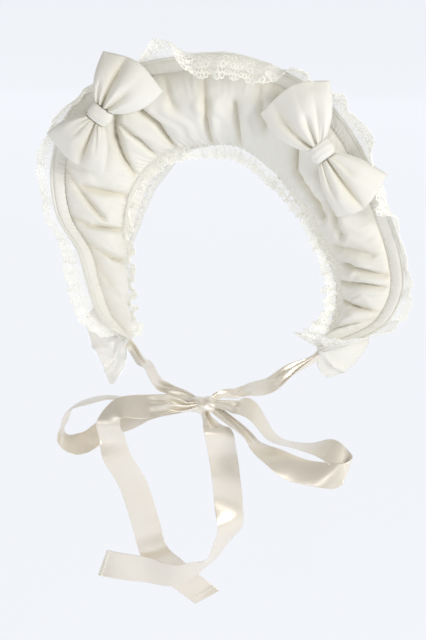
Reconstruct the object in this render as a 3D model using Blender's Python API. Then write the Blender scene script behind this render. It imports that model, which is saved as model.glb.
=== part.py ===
# Half bonnet: a padded, gathered brim with a shirred rim, lace ruffles, two cloth bows,
# a plain half crown and satin ties knotted in a bow under the chin.
# The front of the bonnet faces -Y and +Z is up. The origin is the inside top of the opening
# for the head, where the seam of the brim rests on the hair.
# Tables and named sizes are in millimetres, and MM turns them into metres.

import math

import bmesh
import bpy
import numpy as np
from mathutils import Matrix, Vector
from mathutils.bvhtree import BVHTree

MM = 0.001

# The brim: one row for each place round the face, from the lower left end over the top to
# the lower right end. The inner point is on the seam at the face, the rim point at the edge.
BRIM_ROWS = (
    # inner_x, inner_y, inner_z, rim_x, rim_y, rim_z
    (-89, -4, -182, -92, -20, -172),
    (-95, 2, -160, -107, -36, -150),
    (-97, 8, -131, -115, -44, -121),
    (-92, 8, -103, -123, -46, -90),
    (-82, 4, -71, -143, -42, -57),
    (-70, 2, -41, -147, -38, -13),
    (-53, 0, -18, -131, -36, 32),
    (-32, -1, -4, -90, -36, 66),
    (-11, -1, 1, -37, -36, 80),
    (9, -1, 0, 15, -36, 83),
    (30, 0, -11, 61, -36, 68),
    (50, 2, -32, 98, -34, 41),
    (66, 4, -57, 126, -32, 1),
    (79, 8, -82, 145, -28, -44),
    (92, 10, -107, 158, -24, -83),
    (98, 10, -131, 161, -20, -117),
    (94, 4, -155, 147, -18, -148),
    (88, -2, -170, 117, -14, -168),
    (83, -4, -178, 90, -10, -178),
)
BRIM_BOW = 5.0            # how far the middle of the brim bellies to the front
END_BOW = 0.33            # the share of the belly and the padding left at the two lower ends
END_LENGTH = 0.09         # the share of the brim over which they go down to that
BRIM_COLUMNS = 107        # rings along the lining, the band and the piping
BRIM_ENDS = (0.004, 0.996)
LINING_ROWS = 6
LINING_START = 0.02       # share of the brim's width where the padded cloth starts
BAND_WIDTH = 11.0         # the shirred band, measured in from the rim
BAND_SHARE = 0.4          # but no more than this share of a narrow end of the brim
LINING_EDGE = 1.6         # thickness of the padded cloth at its two seams
PUFF_HEIGHT = 13.0        # how far the padding stands off the brim
PUFF_FULLNESS = 0.55      # below 1 the padding rises steeply from its seams
GATHER_HEIGHT = 1.5       # small gathers along both seams
GATHER_REACH = 0.30       # the share of the padding's width that they run in
GATHERS = 44

# The main folds of the padding, each a valley from one place on the brim to another.
# They are measured on a flat brim of this length and width.
FLAT_LENGTH = 820.0
FLAT_WIDTH = 88.0
FOLDS = (
    # place_1, width_1, place_2, width_2, depth, half_width
    (0.110, 0.30, 0.135, 0.86, 6.0, 5.0),
    (0.190, 0.10, 0.172, 0.86, 7.0, 5.0),
    (0.262, 0.20, 0.235, 0.86, 7.0, 5.0),
    (0.335, 0.10, 0.325, 0.86, 6.0, 5.0),
    (0.420, 0.06, 0.415, 0.75, 6.0, 6.0),
    (0.487, 0.04, 0.480, 0.60, 7.0, 5.0),
    (0.545, 0.06, 0.560, 0.80, 6.0, 6.0),
    (0.620, 0.10, 0.640, 0.86, 6.0, 5.0),
    (0.700, 0.10, 0.715, 0.80, 6.0, 5.0),
    (0.770, 0.15, 0.768, 0.86, 7.0, 4.5),
    (0.815, 0.15, 0.805, 0.86, 6.0, 4.0),
    (0.860, 0.20, 0.850, 0.86, 6.0, 4.0),
)

BAND_INSET = 1.5          # from the rim to the band's outer edge
BAND_THICKNESS = 3.4
PLEAT_DEPTH = 1.3
PIPING_RADIUS = 1.5
PIPING_SINK = 0.6         # how far the piping sits in over the rim
PIPING_SIDES = 5
CLOTH = 1.6               # thickness of a plain cloth wall
SEAM_GAP = 0.35           # space between touching pieces
BACK_GAP = 0.9            # space between the padded front and the plain back of the brim
CROWN_GAP = 1.05          # space between the back of the brim and the half crown
CLEAR_OF_ALL = 60.0       # a distance that takes a bow clear of the brim before it is laid on it

# The half crown runs back from the seam at the face. Its lower ends are the plain flaps.
CROWN_ROWS = (
    # place on the seam, back_x, back_y, back_z
    (0.00, -139, 22, -172),
    (0.06, -124, 36, -146),
    (0.14, -104, 50, -108),
    (0.25, -86, 58, -58),
    (0.38, -50, 60, -10),
    (0.50, 2, 60, 7),
    (0.62, 52, 60, -24),
    (0.74, 88, 58, -70),
    (0.86, 108, 50, -116),
    (0.94, 122, 36, -150),
    (1.00, 127, 22, -180),
)
LEFT_FLAP = (
    # front_x, front_y, front_z, back_x, back_y, back_z
    (-96, 8, -203, -127, 18, -196),
    (-104, 11, -219, -118, 15, -213),
)
LEFT_FLAP_TIP = (-111, 13, -227)
RIGHT_FLAP = (
    (83, 5, -194, 115, 20, -196),
    (86, 10, -203, 103, 17, -205),
)
RIGHT_FLAP_TIP = (93, 15, -209)
CROWN_COLUMNS = 36
CROWN_STEPS = 2

# Lace ruffles. The lean turns from the base to the edge: 0 lies on outwards from the seam
# it is sewn to, 90 stands out to the front, 180 lies back over the brim.
LACE_THICKNESS = 1.0
LACE_ENDS = (0.006, 0.994)
INNER_LACE_INSET = 0.65   # from the seam at the face to the inner lace
INNER_LACE_FRONT = 0.8    # and how far in front of the seam it starts
OUTER_RUFFLES = 36
OUTER_LACE = (
    # place, lean at the base, lean at the edge, width, ruffle height
    (0.00, -70, -60, 14, 2.0),
    (0.06, -75, -70, 22, 3.0),
    (0.16, -70, -60, 24, 4.0),
    (0.24, -20, -20, 20, 4.0),
    (0.34, 0, 0, 18, 3.0),
    (0.40, 10, 30, 22, 3.0),
    (0.47, 40, 150, 30, 3.5),
    (0.54, 40, 145, 28, 3.5),
    (0.58, 10, 30, 22, 3.0),
    (0.68, 0, 0, 24, 3.0),
    (0.76, 5, 10, 20, 4.0),
    (0.84, 0, 0, 16, 3.0),
    (0.92, 0, 10, 18, 3.0),
    (0.97, 10, 60, 16, 3.0),
    (1.00, 20, 60, 12, 2.0),
)
INNER_RUFFLES = 38
INNER_LACE = (
    (0.00, 80, 100, 10, 1.5),
    (0.08, 90, 110, 13, 2.5),
    (0.22, 90, 115, 14, 2.5),
    (0.36, 80, 100, 14, 2.5),
    (0.46, 50, 60, 14, 3.0),
    (0.56, 60, 70, 13, 3.0),
    (0.68, 80, 95, 13, 2.5),
    (0.78, 70, 80, 15, 2.5),
    (0.88, 75, 95, 15, 2.5),
    (1.00, 80, 110, 12, 1.5),
)
RUFFLE_COLUMNS = 5        # columns for each ruffle

# Cloth bows: the near points are beside the knot, the far points on the outer edge.
BOW_LOOPS = {
    "left_bow_upper_loop": {
        "knot": "left_bow_knot",
        "side": 1,
        "far": ((-43, -54, 54), (-64, -60, 79), (-95, -54, 87)),
        "creases": (-0.25, 0.5),
    },
    "left_bow_lower_loop": {
        "knot": "left_bow_knot",
        "side": -1,
        "far": ((-97, -52, -17), (-122, -56, -9), (-148, -50, 15)),
        "creases": (-0.35, 0.45),
    },
    "right_bow_upper_loop": {
        "knot": "right_bow_knot",
        "side": -1,
        "far": ((40, -50, 37), (68, -56, 62), (98.5, -52, 66)),
        "creases": (-0.3, 0.35),
    },
    "right_bow_lower_loop": {
        "knot": "right_bow_knot",
        "side": 1,
        "far": ((106, -50, -49), (130, -53, -40), (148, -46, -12)),
        "creases": (-0.2, 0.5),
    },
}
BOW_KNOTS = {
    # centre, half sizes along the bow, across it and outwards, turn in degrees from +X
    "left_bow_knot": {"centre": (-97, -60, 34), "half": (6.5, 11, 8), "turn": 55},
    "right_bow_knot": {"centre": (93.5, -56, 7), "half": (6.5, 11, 8), "turn": -52},
}
LOOP_FRONT = 8.0          # how far the front of a bow's loop stands out
LOOP_BACK = 4.0
LOOP_EDGE = 2.2           # half the thickness of a loop at its outer edge
LOOP_LEAST = 1.0          # no part of a loop's front is thinner
LOOP_CREASE = 3.2
CREASE_WIDTH = 0.16       # as a share of half a loop's breadth
LOOP_PINCH = 0.42         # the share of its height that a loop keeps beside the knot
LOOP_SQUARENESS = 2.4     # above 2 a loop's section is squarer than an ellipse
LOOP_FLATTEN = (0.55, 0.6)  # how much flatter its front and back are at the outer edge
LOOP_ROOT = 0.8           # the share of the knot's breadth where a loop starts
LOOP_RINGS = 8
KNOT_ROUNDING = 0.16      # how much narrower a knot is at its two ends
KNOT_SQUARENESS = 0.8     # below 1 a knot's section is squarer than an ellipse

# Satin ties: each row is a place on the middle of the ribbon and the vector across it.
RIBBON_THICKNESS = 1.0
RIBBONS = {
    # x, y, z, across_x, across_y, across_z
    "left_strap": (
        (-84, -3, -189, -1, -14, -3),
        (-68, -28, -195, 0, -23, -1),
        (-54, -50, -200, 0, -24, -2),
        (-39, -63, -204, -1, -18, -2),
        (-19, -77, -206, 0, -9, -1),
    ),
    "right_strap": (
        (79, -3, -190, -2, -11, -4),
        (59, -22, -198, 8, -17, -6),
        (40, -42, -206, 12, -20, -6),
        (24, -60, -208, 10, -17, -3),
        (13, -73, -205, 2, -9, -1),
    ),
    "left_tail": (
        (-15, -97, -212, 1, -7, -5),
        (-32, -104, -208, 3, -13, -14),
        (-59, -106, -211, 14, -12, -17),
        (-75, -109, -216, 17, -17, -5),
        (-79, -112, -225, 23, -9, 1),
        (-78, -112, -237, 24, -5, 5),
        (-74, -109, -254, 24, 1, 7),
        (-62, -105, -278, 24, 5, 5),
        (-55, -101, -302, 24, 6, 3),
        (-50, -97, -327, 24, 4, 5),
        (-45, -93, -346, 22, 4, 11),
        (-32, -86, -364, 21, 6, 12),
        (-19, -79, -379, 21, 7, 12),
        (-1, -74, -395, 21, 7, 12),
    ),
    "right_tail": (
        (4, -93, -221, -8, -4, 0),
        (13, -99, -229, -22, -9, 0),
        (17, -100, -244, -24, -7, 0),
        (21, -102, -267, -24, -5, -1),
        (24, -104, -291, -24, -6, 0),
        (25, -106, -311, -20, -15, 3),
        (20, -108, -329, -9, -23, 5),
        (8, -109, -345, -1, -23, 10),
        (-9, -108, -356, -2, -15, 20),
        (-32, -106, -362, 0, -6, 24),
        (-58, -103, -361, 4, 0, 25),
        (-91, -99, -359, 8, 2, 24),
    ),
    "left_chin_loop": (
        (-19, -81, -209, 1, -8, 0),
        (-42, -84, -208, 3, -21, 2),
        (-77, -84, -211, 5, -24, 3),
        (-101, -88, -213, 5, -24, 2),
        (-119, -93, -222, 1, -25, 3),
        (-128, -95, -236, 1, -25, 2),
        (-124, -95, -248, 0, -24, -4),
        (-112, -95, -251, 0, -21, -13),
        (-95, -93, -243, 4, -16, -18),
        (-74, -90, -232, 6, -22, -8),
        (-46, -85, -221, 5, -21, -3),
        (-19, -82, -215, 1, -8, -1),
    ),
    "right_chin_loop": (
        (15, -88, -209, 1, -9, -1),
        (34, -88, -211, -1, -23, -9),
        (52, -93, -224, -1, -25, -2),
        (67, -97, -236, -1, -25, 3),
        (90, -101, -237, -4, -24, 0),
        (111, -106, -240, -6, -20, -13),
        (126, -112, -248, -4, -16, -19),
        (124, -119, -255, -10, -8, -22),
        (107, -121, -255, -15, -8, -19),
        (81, -119, -251, -12, -18, -13),
        (57, -111, -244, -5, -24, -4),
        (37, -98, -231, -2, -20, 2),
        (16, -86, -215, -1, -9, -1),
    ),
}
STRAPS = ("left_strap", "right_strap")
RIBBON_STEPS = 2          # rings for each row of a ribbon's table
BUNCHED = 11.0            # a ribbon's end that is narrower than this is gathered into the knot
KNOT_STEP = 0.05
CHIN_KNOT = {"centre": (-2, -86, -211.5), "half": (11.5, 8, 6)}
CHIN_GROOVE = 0.12        # depth of the wraps, as a share of the knot

MATERIALS = {
    # red, green, blue, roughness
    "ivory_cotton": (0.86, 0.83, 0.72, 0.85),
    "ivory_lace": (0.88, 0.86, 0.78, 0.75),
    "ivory_satin": (0.89, 0.84, 0.74, 0.32),
}


def clear_scene():
    for old in list(bpy.data.objects):
        bpy.data.objects.remove(old, do_unlink=True)


def material(name):
    found = bpy.data.materials.get(name)
    if found:
        return found
    red, green, blue, roughness = MATERIALS[name]
    made = bpy.data.materials.new(name)
    made.use_nodes = True
    shader = made.node_tree.nodes["Principled BSDF"]
    shader.inputs["Base Color"].default_value = (red, green, blue, 1.0)
    shader.inputs["Roughness"].default_value = roughness
    shader.inputs["Metallic"].default_value = 0.0
    return made


def unit(vector):
    return vector / max(np.linalg.norm(vector), 1e-9)


def along(table, share):
    """The smooth curve through the rows of a table, at a share of the way from first to last."""
    rows = np.asarray(table, float)
    place = min(max(share, 0.0), 1.0) * (len(rows) - 1)
    i = min(int(place), len(rows) - 2)
    t = place - i
    before, start, end, after = (rows[min(max(k, 0), len(rows) - 1)] for k in range(i - 1, i + 3))
    bend = (2 * before - 5 * start + 4 * end - after) * t**2
    turn = (3 * start - before - 3 * end + after) * t**3
    return 0.5 * (2 * start + (end - before) * t + bend + turn)


def looked_up(table, place):
    """The row of a table at a place, between the two rows nearest it. Column 0 holds the places."""
    rows = np.asarray(table, float)
    return np.array([np.interp(place, rows[:, 0], column) for column in rows[:, 1:].T])


def smooth_step(low, high, value):
    t = min(max((value - low) / (high - low), 0.0), 1.0)
    return t * t * (3 - 2 * t)


def brim_flat(place, share):
    row = along(BRIM_ROWS, place)
    return row[:3] + (row[3:] - row[:3]) * share


def brim_normal(place):
    """Unit vector out of the front of the brim."""
    step = 0.02
    ahead = brim_flat(min(place + step, 1), 0.5)
    behind = brim_flat(max(place - step, 0), 0.5)
    row = along(BRIM_ROWS, place)
    return unit(np.cross(ahead - behind, row[3:] - row[:3]))


def on_brim(place, share, lift=0.0):
    """A point over the brim, at a share of its width and so far in front of it."""
    belly = BRIM_BOW * math.sin(math.pi * min(max(share, 0.0), 1.0)) * end_taper(place)
    return brim_flat(place, share) + brim_normal(place) * (belly + lift)


def end_taper(place):
    """1 along the brim, going down to a third at its two lower ends."""
    full = smooth_step(0, END_LENGTH, place) * smooth_step(0, END_LENGTH, 1 - place)
    return END_BOW + (1 - END_BOW) * full


def fold_depth(place, share):
    """How deep the main folds cut into the padding here."""
    depth = 0.0
    flat = np.array([FLAT_LENGTH, FLAT_WIDTH])
    here = np.array([place, share]) * flat
    for place_1, width_1, place_2, width_2, deep, half in FOLDS:
        start = np.array([place_1, width_1]) * flat
        run = np.array([place_2, width_2]) * flat - start
        t = min(max(np.dot(here - start, run) / np.dot(run, run), 0.0), 1.0)
        away = np.linalg.norm(here - start - run * t)
        depth = max(depth, deep * math.exp(-((away / half) ** 2)))
    return depth


def padding(place, share):
    """Thickness of the padded lining at a place on the brim."""
    t = (share - LINING_START) / (band_start(place) - LINING_START)
    crown = math.sin(math.pi * min(max(t, 0.0), 1.0)) ** PUFF_FULLNESS
    near_seam = 1 - smooth_step(0.0, GATHER_REACH, min(t, 1 - t))
    gathers = GATHER_HEIGHT * near_seam * (1 + math.cos(2 * math.pi * GATHERS * place)) / 2
    puff = PUFF_HEIGHT * crown * end_taper(place) - fold_depth(place, share) * crown
    return LINING_EDGE + gathers + max(puff, 0.0)


def brim_width(place):
    return np.linalg.norm(brim_flat(place, 1.0) - brim_flat(place, 0.0))


def band_start(place):
    """The share of the brim's width where the padded cloth ends and the band starts."""
    return 1 - min(BAND_WIDTH / brim_width(place), BAND_SHARE)


def finished(bm, name, material_name):
    bmesh.ops.recalc_face_normals(bm, faces=bm.faces)
    if bm.calc_volume(signed=True) < 0:
        bmesh.ops.reverse_faces(bm, faces=bm.faces)
    mesh = bpy.data.meshes.new(name)
    bm.to_mesh(mesh)
    bm.free()
    made = bpy.data.objects.new(name, mesh)
    bpy.context.scene.collection.objects.link(made)
    mesh.materials.append(material(material_name))
    mesh.shade_smooth()
    mesh.set_sharp_from_angle(angle=math.radians(50))
    return made


def loft(name, rings, material_name):
    """A closed skin through rings of points given in millimetres, capped at its two ends.

    The first half of each ring is the front and the rest the back. The two are split along
    matching diagonals, so that a thin wall stays as thick where it twists.
    """
    bm = bmesh.new()
    made = [[bm.verts.new(Vector(point) * MM) for point in ring] for ring in rings]
    for first, second in zip(made, made[1:]):
        for k in range(len(first)):
            after = (k + 1) % len(first)
            if k < len(first) // 2:
                bm.faces.new((first[k], first[after], second[after]))
                bm.faces.new((first[k], second[after], second[k]))
            else:
                bm.faces.new((first[k], first[after], second[k]))
                bm.faces.new((first[after], second[after], second[k]))
    bm.faces.new(made[0])
    bm.faces.new(made[-1])
    return finished(bm, name, material_name)


def shares(count, low=0.0, high=1.0):
    return np.linspace(low, high, count)


def wall_ring(front, thickness, normal):
    """A ring round a thin wall: its front points, and the same points behind them."""
    back = [point - normal * thickness for point in reversed(front)]
    return list(front) + back


def build_lining():
    rings = []
    for place in shares(BRIM_COLUMNS, *BRIM_ENDS):
        end = band_start(place) - SEAM_GAP / brim_width(place)
        steps = shares(LINING_ROWS, LINING_START, end)
        front = [on_brim(place, share, padding(place, share)) for share in steps]
        back = [on_brim(place, share) for share in shares(4, end, LINING_START)]
        rings.append(front + back)
    loft("brim_lining", rings, "ivory_cotton")


def build_band():
    rings = []
    for i, place in enumerate(shares(BRIM_COLUMNS, *BRIM_ENDS)):
        start, end = band_start(place), 1 - BAND_INSET / brim_width(place)
        height = BAND_THICKNESS - (PLEAT_DEPTH if i % 2 else 0.0)
        front = [on_brim(place, share, height) for share in shares(3, start, end)]
        back = [on_brim(place, share) for share in (end, start)]
        rings.append(front + back)
    loft("rim_band", rings, "ivory_cotton")


def rim_frame(place, outward):
    """The rim's edge, the unit vector away from the seam there and the one to the front."""
    edge = on_brim(place, 1.0)
    inner = on_brim(place, 0.0)
    away = unit(edge - inner)
    front = brim_normal(place)
    return (edge, away, front) if outward else (inner, -away, front)


def build_piping():
    rings = []
    for place in shares(BRIM_COLUMNS, *BRIM_ENDS):
        edge, away, front = rim_frame(place, True)
        centre = edge + away * (PIPING_RADIUS - PIPING_SINK) + front * PIPING_RADIUS
        turns = [2 * math.pi * k / PIPING_SIDES for k in range(PIPING_SIDES)]
        rings.append(
            [centre + PIPING_RADIUS * (away * math.cos(a) + front * math.sin(a)) for a in turns]
        )
    loft("rim_piping", rings, "ivory_cotton")


def build_back():
    rings = []
    for place in shares(BRIM_COLUMNS, *BRIM_ENDS):
        end = band_start(place)
        front = [on_brim(place, share, -BACK_GAP) for share in (LINING_START, end / 2, end, 1.0)]
        back = [on_brim(place, share, -BACK_GAP - CLOTH) for share in (1.0, LINING_START)]
        rings.append(front + back)
    loft("brim_back", rings, "ivory_cotton")


def crown_line(place):
    """The front and back edge of the half crown at a place on the seam."""
    seam, away, front = rim_frame(place, False)
    return seam - front * (BACK_GAP + CLOTH + CROWN_GAP), looked_up(CROWN_ROWS, place)


def build_crown():
    lines = [crown_line(place) for place in shares(CROWN_COLUMNS, *BRIM_ENDS)]
    for row in LEFT_FLAP:
        lines.insert(0, (np.array(row[:3], float), np.array(row[3:], float)))
    for row in RIGHT_FLAP:
        lines.append((np.array(row[:3], float), np.array(row[3:], float)))
    tips = [np.array(LEFT_FLAP_TIP, float), np.array(RIGHT_FLAP_TIP, float)]
    tip_half = np.array((2.0, 0.5, 0.0))
    lines.insert(0, (tips[0] + tip_half, tips[0] - tip_half))
    lines.append((tips[1] - tip_half, tips[1] + tip_half))
    rings = []
    for i, (front, back) in enumerate(lines):
        ahead = lines[min(i + 1, len(lines) - 1)]
        behind = lines[max(i - 1, 0)]
        run = (ahead[0] + ahead[1] - behind[0] - behind[1]) / 2
        inwards = unit(np.cross(run, back - front))
        outer = [front + (back - front) * t for t in shares(CROWN_STEPS + 1)]
        rings.append(wall_ring(outer, CLOTH, -inwards))
    return loft("crown_band", rings, "ivory_cotton")


def build_lace(name, table, ruffles, outward):
    columns = ruffles * RUFFLE_COLUMNS + 1
    steps = 2 if outward else 1
    rings = []
    for place in shares(columns, *LACE_ENDS):
        lean_1, lean_2, width, height = looked_up(table, place)
        edge, away, front = rim_frame(place, outward)
        if outward:
            behind = LACE_THICKNESS * max(-math.sin(math.radians((lean_1 + lean_2) / 2)), 0)
            start = edge + away * (PIPING_RADIUS * 2 + behind) + front * PIPING_RADIUS
        else:
            start = edge + away * INNER_LACE_INSET + front * INNER_LACE_FRONT
        phase = 2 * math.pi * ruffles * place
        points = [start]
        for k in range(steps):
            lean = math.radians(lean_1 + (lean_2 - lean_1) * (k + 0.5) / steps)
            course = away * math.cos(lean) + front * math.sin(lean)
            points.append(points[-1] + course * (width / steps))
        lean = math.radians((lean_1 + lean_2) / 2)
        side = front * math.cos(lean) - away * math.sin(lean)
        shaped = []
        for k, point in enumerate(points):
            share = k / steps
            shaped.append(point + side * (height * share * math.sin(phase)))
        rings.append(wall_ring(shaped, LACE_THICKNESS, side))
    loft(name, rings, "ivory_lace")


def fan(points, t):
    """The curve through a row of points, t from -1 at the first to 1 at the last."""
    return along(points, (t + 1) / 2)


def bow_axes(knot):
    """Unit vectors along the bow and across it."""
    turn = math.radians(knot["turn"])
    along_bow = np.array((math.cos(turn), 0.0, math.sin(turn)))
    return along_bow, np.array((-math.sin(turn), 0.0, math.cos(turn)))


def beside_knot(knot, side):
    """The two ends of the line beside a knot where a loop of the bow starts."""
    along_bow, across = bow_axes(knot)
    half_along, half_across, _ = knot["half"]
    middle = np.array(knot["centre"]) + along_bow * side * (half_along + SEAM_GAP * 2)
    reach = across * half_across * LOOP_ROOT
    return middle - reach, middle + reach


def build_bow_loop(name, table):
    near, far = beside_knot(BOW_KNOTS[table["knot"]], table["side"]), table["far"]
    middle = unit(fan(far, 0) - fan(near, 0))
    across = unit(fan(far, 1) - fan(far, -1))
    out = unit(np.cross(across, middle))
    out = out if out[1] < 0 else -out
    front_steps = shares(9, -1, 1)
    rings = []
    for s in shares(LOOP_RINGS):
        rise = math.sin(math.pi * min(s * 0.85 + 0.1, 1.0))
        swell = LOOP_PINCH + (1 - LOOP_PINCH) * rise
        front, back = [], []
        for c in front_steps:
            base = fan(near, c) + (fan(far, c) - fan(near, c)) * s
            round_off = max(1 - abs(c) ** LOOP_SQUARENESS, 0.0) ** 0.5
            crease = sum(math.exp(-(((c - at) / CREASE_WIDTH) ** 2)) for at in table["creases"])
            height = LOOP_EDGE + LOOP_FRONT * swell * round_off * (1 - LOOP_FLATTEN[0] * s**4)
            height -= LOOP_CREASE * crease * (1 - s**3) * round_off
            front.append(base + out * max(height, LOOP_LEAST))
        for c in front_steps[-2:0:-2]:
            base = fan(near, c) + (fan(far, c) - fan(near, c)) * s
            round_off = max(1 - abs(c) ** LOOP_SQUARENESS, 0.0) ** 0.5
            height = LOOP_BACK * swell * round_off * (1 - LOOP_FLATTEN[1] * s**4)
            back.append(base - out * (LOOP_EDGE * 0.3 + height))
        rings.append(front + back)
    return loft(name, rings, "ivory_cotton")


def build_bow_knot(name, table):
    """A band of cloth wrapped round the middle of a bow."""
    along_bow, across = bow_axes(table)
    out = np.array((0.0, -1.0, 0.0))
    half_along, half_across, half_out = table["half"]
    rings = []
    for s in shares(5, -1, 1):
        size = 1 - KNOT_ROUNDING * s**2
        ring = []
        for k in range(14):
            angle = 2 * math.pi * k / 14
            wide = math.copysign(abs(math.cos(angle)) ** KNOT_SQUARENESS, math.cos(angle))
            deep = math.copysign(abs(math.sin(angle)) ** KNOT_SQUARENESS, math.sin(angle))
            ring.append(
                np.array(table["centre"])
                + along_bow * (half_along * s)
                + across * (half_across * size * wide)
                + out * (half_out * size * deep)
            )
        rings.append(ring)
    return loft(name, rings, "ivory_cotton")


def from_knot(point):
    """How far a point is from the middle of the chin knot, in half sizes of the knot."""
    return np.linalg.norm((point - np.array(CHIN_KNOT["centre"])) / np.array(CHIN_KNOT["half"]))


def brought_to_knot(row):
    """A ribbon's end row, moved straight to the chin knot until the seam gap is left."""
    course = unit(np.array(CHIN_KNOT["centre"], float) - row[:3])
    moved = np.array(row, float)
    half = moved[3:] / 2
    nearest = 1 + SEAM_GAP / min(CHIN_KNOT["half"])
    while min(from_knot(moved[:3] + half * t) for t in (-1, -0.5, 0, 0.5, 1)) > nearest:
        moved[:3] += course * KNOT_STEP
    return moved


def brought_to_wall(row, wall):
    """A strap's upper end row, moved to the wall that it is sewn to until the seam gap is left."""
    moved = np.array(row, float)
    half = moved[3:] / 2
    points = [moved[:3] + half * t for t in (-1, -0.5, 0, 0.5, 1)]
    found = [(wall.find_nearest(Vector(point * MM)), point) for point in points]
    hit, point = min(found, key=lambda pair: pair[0][3])
    way = np.array(hit[0]) / MM - point
    moved[:3] += unit(way) * (np.linalg.norm(way) - SEAM_GAP - RIBBON_THICKNESS / 2)
    return moved


def build_ribbon(name, rows, wall):
    table = [np.array(row, float) for row in rows]
    for end in (0, -1):
        if np.linalg.norm(table[end][3:]) < BUNCHED:
            table[end] = brought_to_knot(table[end])
    if name in STRAPS:
        table[0] = brought_to_wall(table[0], wall)
    rings = []
    for share in shares((len(table) - 1) * RIBBON_STEPS + 1):
        row = along(table, share)
        ahead = along(table, min(share + 0.01, 1.0))
        behind = along(table, max(share - 0.01, 0.0))
        centre, half = row[:3], row[3:] / 2
        normal = unit(np.cross(ahead[:3] - behind[:3], half))
        offset = normal * (RIBBON_THICKNESS / 2)
        front = [centre - half + offset, centre + half + offset]
        rings.append(wall_ring(front, RIBBON_THICKNESS, normal))
    return loft(name, rings, "ivory_satin")


def build_chin_knot():
    centre, half = np.array(CHIN_KNOT["centre"], float), np.array(CHIN_KNOT["half"], float)
    rings = []
    for s in shares(9, -0.94, 0.94):
        size = math.sqrt(1 - s**2)
        ring = []
        for k in range(12):
            angle = 2 * math.pi * k / 12
            groove = 1 - CHIN_GROOVE * max(math.cos(2 * angle + 3 * s), 0.0)
            turned = np.array((0.0, math.cos(angle), math.sin(angle)))
            ring.append(centre + half * (turned * size * groove + np.array((s, 0.0, 0.0))))
        rings.append(ring)
    return loft("chin_knot", rings, "ivory_satin")


def world_points(piece):
    return [piece.matrix_world @ vertex.co for vertex in piece.data.vertices]


def tree_of(piece):
    return BVHTree.FromPolygons(world_points(piece), [tuple(face.vertices) for face in piece.data.polygons])


def room(movers, carriers, towards):
    """The least distance that the movers can go before one of them meets a carrier."""
    course = Vector(towards).normalized()
    least = math.inf
    for starts, targets, way in ((movers, carriers, course), (carriers, movers, -course)):
        trees = [tree_of(piece) for piece in targets]
        for piece in starts:
            for point in world_points(piece):
                for tree in trees:
                    hit = tree.ray_cast(point, way)
                    if hit[0] is not None:
                        least = min(least, hit[3])
    return least


def shift(piece, way):
    piece.data.transform(Matrix.Translation(way))


def seat(names, carrier_names, towards):
    """Lays pieces on their carriers: they start well clear, and move until two gaps are left."""
    movers = [bpy.data.objects[name] for name in names]
    carriers = [bpy.data.objects[name] for name in carrier_names]
    course = Vector(towards).normalized()
    for piece in movers:
        shift(piece, -course * CLEAR_OF_ALL * MM)
    travel = room(movers, carriers, course) - SEAM_GAP * 2 * MM
    for piece in movers:
        shift(piece, course * travel)


def build_all():
    build_lining()
    build_band()
    build_piping()
    build_back()
    crown = tree_of(build_crown())
    build_lace("outer_lace", OUTER_LACE, OUTER_RUFFLES, True)
    build_lace("inner_lace", INNER_LACE, INNER_RUFFLES, False)
    for name, table in BOW_LOOPS.items():
        build_bow_loop(name, table)
    for name, table in BOW_KNOTS.items():
        build_bow_knot(name, table)
    for name, table in RIBBONS.items():
        build_ribbon(name, table, crown)
    build_chin_knot()
    brim = ("brim_lining", "rim_band", "rim_piping", "outer_lace", "inner_lace")
    for side in ("left", "right"):
        bow = [f"{side}_bow_{piece}" for piece in ("upper_loop", "lower_loop", "knot")]
        seat(bow, brim, (0, 1, 0))


clear_scene()
build_all()
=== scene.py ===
# Half bonnet: a padded, gathered brim with a shirred rim, lace ruffles, two cloth bows, a plain
# half crown and satin ties knotted in a bow under the chin.
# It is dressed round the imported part, whose front faces -Y, with +Z up and the origin at the
# inside top of the opening for the head. Tables are in millimetres, apart from the flat sizes
# of the sheets, which are in metres.

import math

import bmesh
import bpy
import numpy as np
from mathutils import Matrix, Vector


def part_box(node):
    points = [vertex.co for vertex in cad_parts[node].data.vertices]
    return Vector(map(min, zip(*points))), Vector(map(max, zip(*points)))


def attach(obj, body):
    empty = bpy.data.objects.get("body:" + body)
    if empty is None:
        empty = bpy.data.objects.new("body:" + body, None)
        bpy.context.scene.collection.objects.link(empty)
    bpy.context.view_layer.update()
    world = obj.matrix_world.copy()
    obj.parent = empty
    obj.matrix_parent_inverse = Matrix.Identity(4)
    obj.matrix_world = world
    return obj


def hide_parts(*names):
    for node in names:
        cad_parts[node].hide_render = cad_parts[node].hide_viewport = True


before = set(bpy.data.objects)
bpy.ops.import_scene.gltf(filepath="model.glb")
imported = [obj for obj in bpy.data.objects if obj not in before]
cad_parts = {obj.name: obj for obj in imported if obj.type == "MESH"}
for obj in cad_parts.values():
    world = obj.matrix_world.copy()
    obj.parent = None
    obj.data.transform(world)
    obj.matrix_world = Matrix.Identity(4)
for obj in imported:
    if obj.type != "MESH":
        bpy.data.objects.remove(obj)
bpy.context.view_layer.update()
mm = 0.001
print("frame loaded")


def along(table, share):
    # the smooth curve through the rows of a table, at shares of the way from first to last
    rows = np.asarray(table, float)
    place = np.clip(share, 0.0, 1.0) * (len(rows) - 1)
    i = np.minimum(place.astype(int), len(rows) - 2)
    t = (place - i)[:, None]
    before, start, end, after = (rows[np.clip(i + k, 0, len(rows) - 1)] for k in (-1, 0, 1, 2))
    bend = (2 * before - 5 * start + 4 * end - after) * t**2
    turn = (3 * start - before - 3 * end + after) * t**3
    return 0.5 * (2 * start + (end - before) * t + bend + turn)


def lookedUp(table, place):
    # the row of a table at each place, between the rows nearest it; column 0 holds the places
    rows = np.asarray(table, float)
    return [np.interp(place, rows[:, 0], column) for column in rows[:, 1:].T]


def unit(vectors):
    return vectors / np.maximum(np.linalg.norm(vectors, axis=-1, keepdims=True), 1e-9)


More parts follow.
